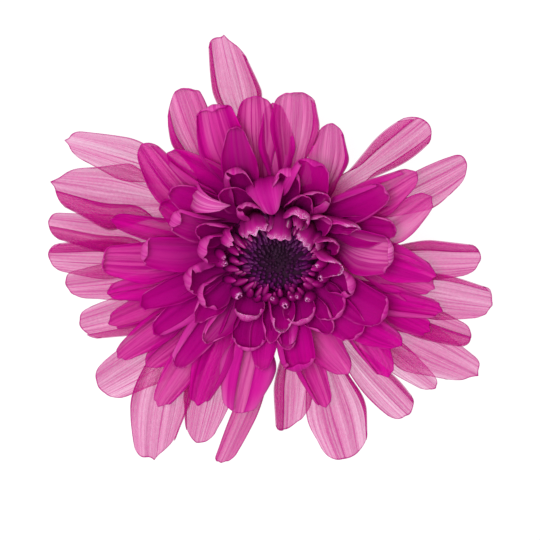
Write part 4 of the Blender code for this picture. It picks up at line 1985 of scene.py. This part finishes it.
INNER_FLORETS = [
    Floret(
        138.5, 25.4, 22.6, 6.2, lean=-30, point=1.2, rise=10, curl=108, roll=12.5, pale=1.0,
        cup=-74, frost=0.1,
    ),
    Floret(122, 20.5, 22.0, 5.4, lean=-4, cup=-20),
    Floret(112, 24.0, 22.0, 5.4, lean=10, fold_left=80, curl=50),
    Floret(
        98, 21.4, 22.4, 7.4, lean=-4, point=0.6, rise=6, curl=104, roll=11.5, cup=-36,
        stripe=(0.0, 1.3),
    ),
    Floret(84, 22.5, 22.0, 5.0, curl=80, cup=16),
    Floret(70, 17.0, 21.5, 5.0, cup=-10),
    Floret(60, 19.5, 23.0, 5.8, lean=6, fold_right=110, band=0.5, frost=0.3),
    Floret(32, 19.0, 22.5, 4.6, lean=18, twist=60, point=0.8, frost=0.9),
    Floret(69, 14.6, 24.0, 4.6, rise=18, curl=40, cup=20, frost=0.9),
    Floret(115, 17.0, 24.0, 5.0, fold_left=90, band=0.5, curl=30, frost=0.2),
    Floret(150, 18.5, 22.0, 5.0, lean=6, point=0.6),
    Floret(163, 17.8, 22.5, 5.6, point=0.0, curl=75, roll=4.5, cup=12),
    Floret(188, 20.0, 21.5, 6.4, lean=12, point=0.0, fold_right=70, curl=60, roll=4.5),
    Floret(206, 18.8, 20.5, 5.8, lean=6, point=0.0, curl=65, roll=4.0, cup=20),
    Floret(216, 20.5, 20.5, 5.0, lean=-4, point=0.7),
    Floret(
        229, 23.0, 20.5, 5.4, point=0.8, curl=30, roll=3.0, lean=5, fold_right=65, band=0.45,
        cup=-12, pale=0.2,
    ),
    Floret(244, 15.6, 20.5, 5.4, lean=-6, point=-0.3, curl=80, roll=4.8, frost=0.5),
    Floret(253, 21.5, 20.0, 6.4, lean=-8, point=-0.2, curl=68, roll=3.8),
    Floret(266, 17.0, 20.5, 4.6, lean=4, point=0.7),
    Floret(271, 14.6, 21.0, 4.8, twist=-30, cup=10, curl=20, frost=0.8),
    Floret(293, 15.8, 20.5, 6.0, point=-0.2, curl=75, roll=4.5, frost=0.4),
    Floret(277, 18.5, 20.5, 5.2, lean=-4, fold_left=120, band=0.5, frost=0.1),
    Floret(306, 19.0, 20.0, 5.4, lean=-6, point=0.6, curl=20),
    Floret(319, 18.2, 20.5, 6.8, point=0.0, curl=60, roll=4.0, cup=-8),
    Floret(344, 17.6, 21.0, 6.4, lean=-10, point=0.0, fold_right=70, curl=65, roll=4.4, frost=0.1),
    Floret(5, 13.2, 23.0, 5.0, lean=-6, cup=24, twist=20, frost=0.9),
    Floret(28, 13.6, 23.0, 4.2, lean=-8, rise=12, cup=14, frost=0.4),
    Floret(46, 15.0, 21.0, 4.6, frost=0.2),
]
HOODED_FLORETS = [
    Floret(118.5, 9.8, 22.4, 4.6, point=-1.3, curl=30, frost=1.0),
    Floret(86.5, 7.4, 21.8, 4.2, point=-1.2, curl=20, frost=0.8),
    Floret(43, 8.4, 21.2, 3.8, point=-1.1, curl=20, frost=1.0),
    Floret(150, 11.6, 22.0, 3.4, point=0.3, curl=30, frost=0.5),
    Floret(64, 9.6, 20.8, 2.8, frost=0.3),
    Floret(103, 8.4, 20.6, 2.6, frost=0.4),
    Floret(133, 9.6, 20.8, 2.6, frost=0.4),
    Floret(26, 9.2, 20.2, 2.8, frost=0.5),
]
YOUNG_BUDS = [
    Bud(164, 9.2, 18.6, 34, 0.8, 2.2, frost=0.3),
    Bud(172, 11.4, 18.8, 28, 0.9, 2.0, mouth=0.6, frost=0.6),
    Bud(181, 11.2, 18.6, 30, 1.1, 2.4, mouth=0.8, frost=0.9, swing=20),
    Bud(192, 9.4, 17.8, 50, 0.75, 2.2, frost=0.2),
    Bud(206, 10.6, 17.4, 40, 0.8, 2.2),
    Bud(214, 9.0, 17.6, 58, 0.75, 2.4, frost=0.1),
    Bud(222, 10.9, 18.2, 16, 1.2, 2.4, mouth=1.0, frost=0.9, swing=-25),
    Bud(234, 9.2, 17.6, 44, 0.8, 2.2, swing=30),
    Bud(246, 9.6, 17.2, 40, 0.8, 2.0),
    Bud(256, 8.6, 17.8, 50, 0.75, 2.2, swing=-20),
    Bud(266, 8.7, 18.3, 36, 0.95, 2.2, mouth=0.5, frost=0.9, swing=25),
    Bud(279, 9.7, 18.3, 12, 1.15, 2.2, mouth=0.9, frost=1.0, swing=-30),
    Bud(291, 8.6, 18.4, 30, 0.85, 2.0, frost=0.5),
    Bud(298, 9.0, 18.0, 22, 0.9, 2.0, mouth=0.5, frost=0.7),
    Bud(309, 10.4, 18.4, 18, 1.1, 2.5, mouth=0.5, frost=1.0, swing=15),
    Bud(318, 8.6, 17.6, 46, 0.85, 2.0, frost=0.2),
    Bud(327, 9.9, 17.6, 40, 0.9, 2.2),
    Bud(339, 9.9, 18.6, 26, 1.1, 2.3, mouth=0.8, frost=1.0, swing=-20),
    Bud(348, 8.4, 18.0, 48, 0.8, 2.0),
    Bud(357, 8.9, 18.6, 36, 0.95, 2.1, mouth=0.6, frost=1.0),
    Bud(8, 9.8, 18.8, 40, 0.8, 2.0, frost=0.2),
    Bud(20, 8.8, 18.4, 52, 0.75, 2.2, frost=0.3),
    Bud(33, 9.4, 18.6, 44, 0.8, 2.0, frost=0.2),
    Bud(54, 8.6, 18.4, 60, 0.75, 2.4, frost=0.4),
    Bud(75, 8.4, 18.6, 60, 0.7, 2.2, frost=0.3),
    Bud(104, 8.4, 18.6, 62, 0.75, 2.6, frost=0.5),
    Bud(135, 8.8, 18.6, 56, 0.75, 2.2, frost=0.3),
    Bud(150, 9.2, 18.6, 50, 0.8, 2.6, frost=0.3),
]
CORE_OUTLINE = [
    (0.0, 13.0),
    (8.6, 13.0),
    (9.2, 13.0),
    (9.6, 12.5),
    (9.6, 7.5),
    (9.3, 6.6),
    (8.4, 5.9),
    (0.0, 5.9),
]

RINGS = [
    RayRing(
        name="rays_outer",
        bearing=OUTER,
        florets=OUTER_FLORETS,
        depth=0.0,
        veil=Veil(0.95, 0.39, start=0.1, end=0.5),
        along=40,
        across=26,
        notch=0.14 * MM,
        claw_share=0.3,
        broader=1.06,
        fan=0.78,
    ),
    RayRing(
        name="rays_second",
        bearing=SECOND,
        florets=SECOND_FLORETS,
        depth=0.25,
        veil=Veil(0.97, 0.72),
        along=36,
        across=22,
        notch=0.4 * MM,
        claw_share=0.38,
        fan=0.68,
    ),
    RayRing(
        name="rays_third",
        bearing=THIRD,
        florets=THIRD_FLORETS,
        depth=0.5,
        veil=Veil(0.98, 0.88),
        along=34,
        across=20,
    ),
    RayRing(
        name="rays_inner",
        bearing=INNER,
        florets=INNER_FLORETS,
        depth=0.8,
        veil=Veil(0.99, 0.96),
        along=32,
        across=20,
        pleat=0.12 * MM,
        ruffle=0.25 * MM,
        variety=12.0,
        thickness=0.22 * MM,
    ),
    RayRing(
        name="rays_hooded",
        bearing=HOODED,
        florets=HOODED_FLORETS,
        depth=0.9,
        veil=Veil(0.99, 0.96),
        along=28,
        across=16,
        pleat=0.05 * MM,
        ruffle=0.2 * MM,
        notch=0.8 * MM,
        thickness=0.2 * MM,
    ),
]

# The root and deep colours are painted shade at the blades' roots, and glint is painted glints.
PETAL_INSIDE = PetalFinish(
    name="petal_inside",
    outer=srgb(206, 0, 150),
    inner=srgb(216, 0, 160),
    dusk=srgb(170, 0, 124),
    light=srgb(226, 116, 184),
    vein=srgb(172, 0, 128),
    root=srgb(186, 0, 138),
    deep=srgb(120, 0, 88),
    frost=srgb(214, 150, 208),
    glint=srgb(250, 235, 250),
    filter=(0.96, 0.84, 0.91),
    glow=0.28,
    glow_outer=0.22,
    sheen=0.04,
    lip=0.06,
)
PETAL_OUTSIDE = replace(
    PETAL_INSIDE,
    name="petal_outside",
    outer=srgb(208, 34, 154),
    inner=srgb(206, 20, 154),
    dusk=srgb(204, 44, 156),
    light=srgb(228, 118, 190),
    vein=srgb(186, 0, 138),
    root=srgb(178, 0, 132),
    frost=srgb(218, 158, 212),
    sheen=0.1,
    lip=0.3,
)
# The tip colour is a painted highlight, and frost that of pale specks, partly painted glints.
BUD_SKIN = BudFinish(
    name="disc_bud",
    middle=srgb(44, 2, 40),
    dusk=srgb(80, 0, 76),
    rim=srgb(126, 0, 90),
    tip=srgb(178, 10, 132),
    frost=srgb(228, 170, 220),
)
STALK_FLESH = FleshFinish("flesh", skin=srgb(120, 135, 70), pith=srgb(215, 210, 165))
# The core and the cushion are dark purple: painted shade in the gaps between their florets.
CORE_FLESH = FleshFinish("heart", skin=srgb(70, 0, 58), pith=srgb(105, 10, 85))
CUSHION_FLESH = FleshFinish("hollow", skin=srgb(36, 2, 32), pith=srgb(56, 4, 48))
BRACT_SKIN = BractFinish(
    "bract", green=srgb(118, 138, 62), dark=srgb(74, 98, 38), paper=srgb(150, 112, 70)
)


def main() -> None:
    """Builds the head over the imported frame, then the studio."""
    logging.basicConfig(level=logging.INFO, format="%(name)s: %(message)s")
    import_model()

    blade = [PETAL_INSIDE.build(), PETAL_OUTSIDE.build()]
    bud = BUD_SKIN.build()
    rays = RayFlorets(RINGS, YOUNG_BUDS, CORE_OUTLINE)
    head = {
        "ray_florets": rays.build(blade, bud, CORE_FLESH.build()),
        "disc_florets": Disc().build(CUSHION_FLESH.build(), bud),
        "calyx": Calyx().build(STALK_FLESH.build(), BRACT_SKIN.build()),
    }
    for node, pieces in head.items():
        for piece in pieces:
            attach(piece, "root")
            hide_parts(node)
            log.info("%s stands for %s with %d faces", piece.name, node, len(piece.data.polygons))

    Studio().build()


if __name__ == "__main__":
    main()
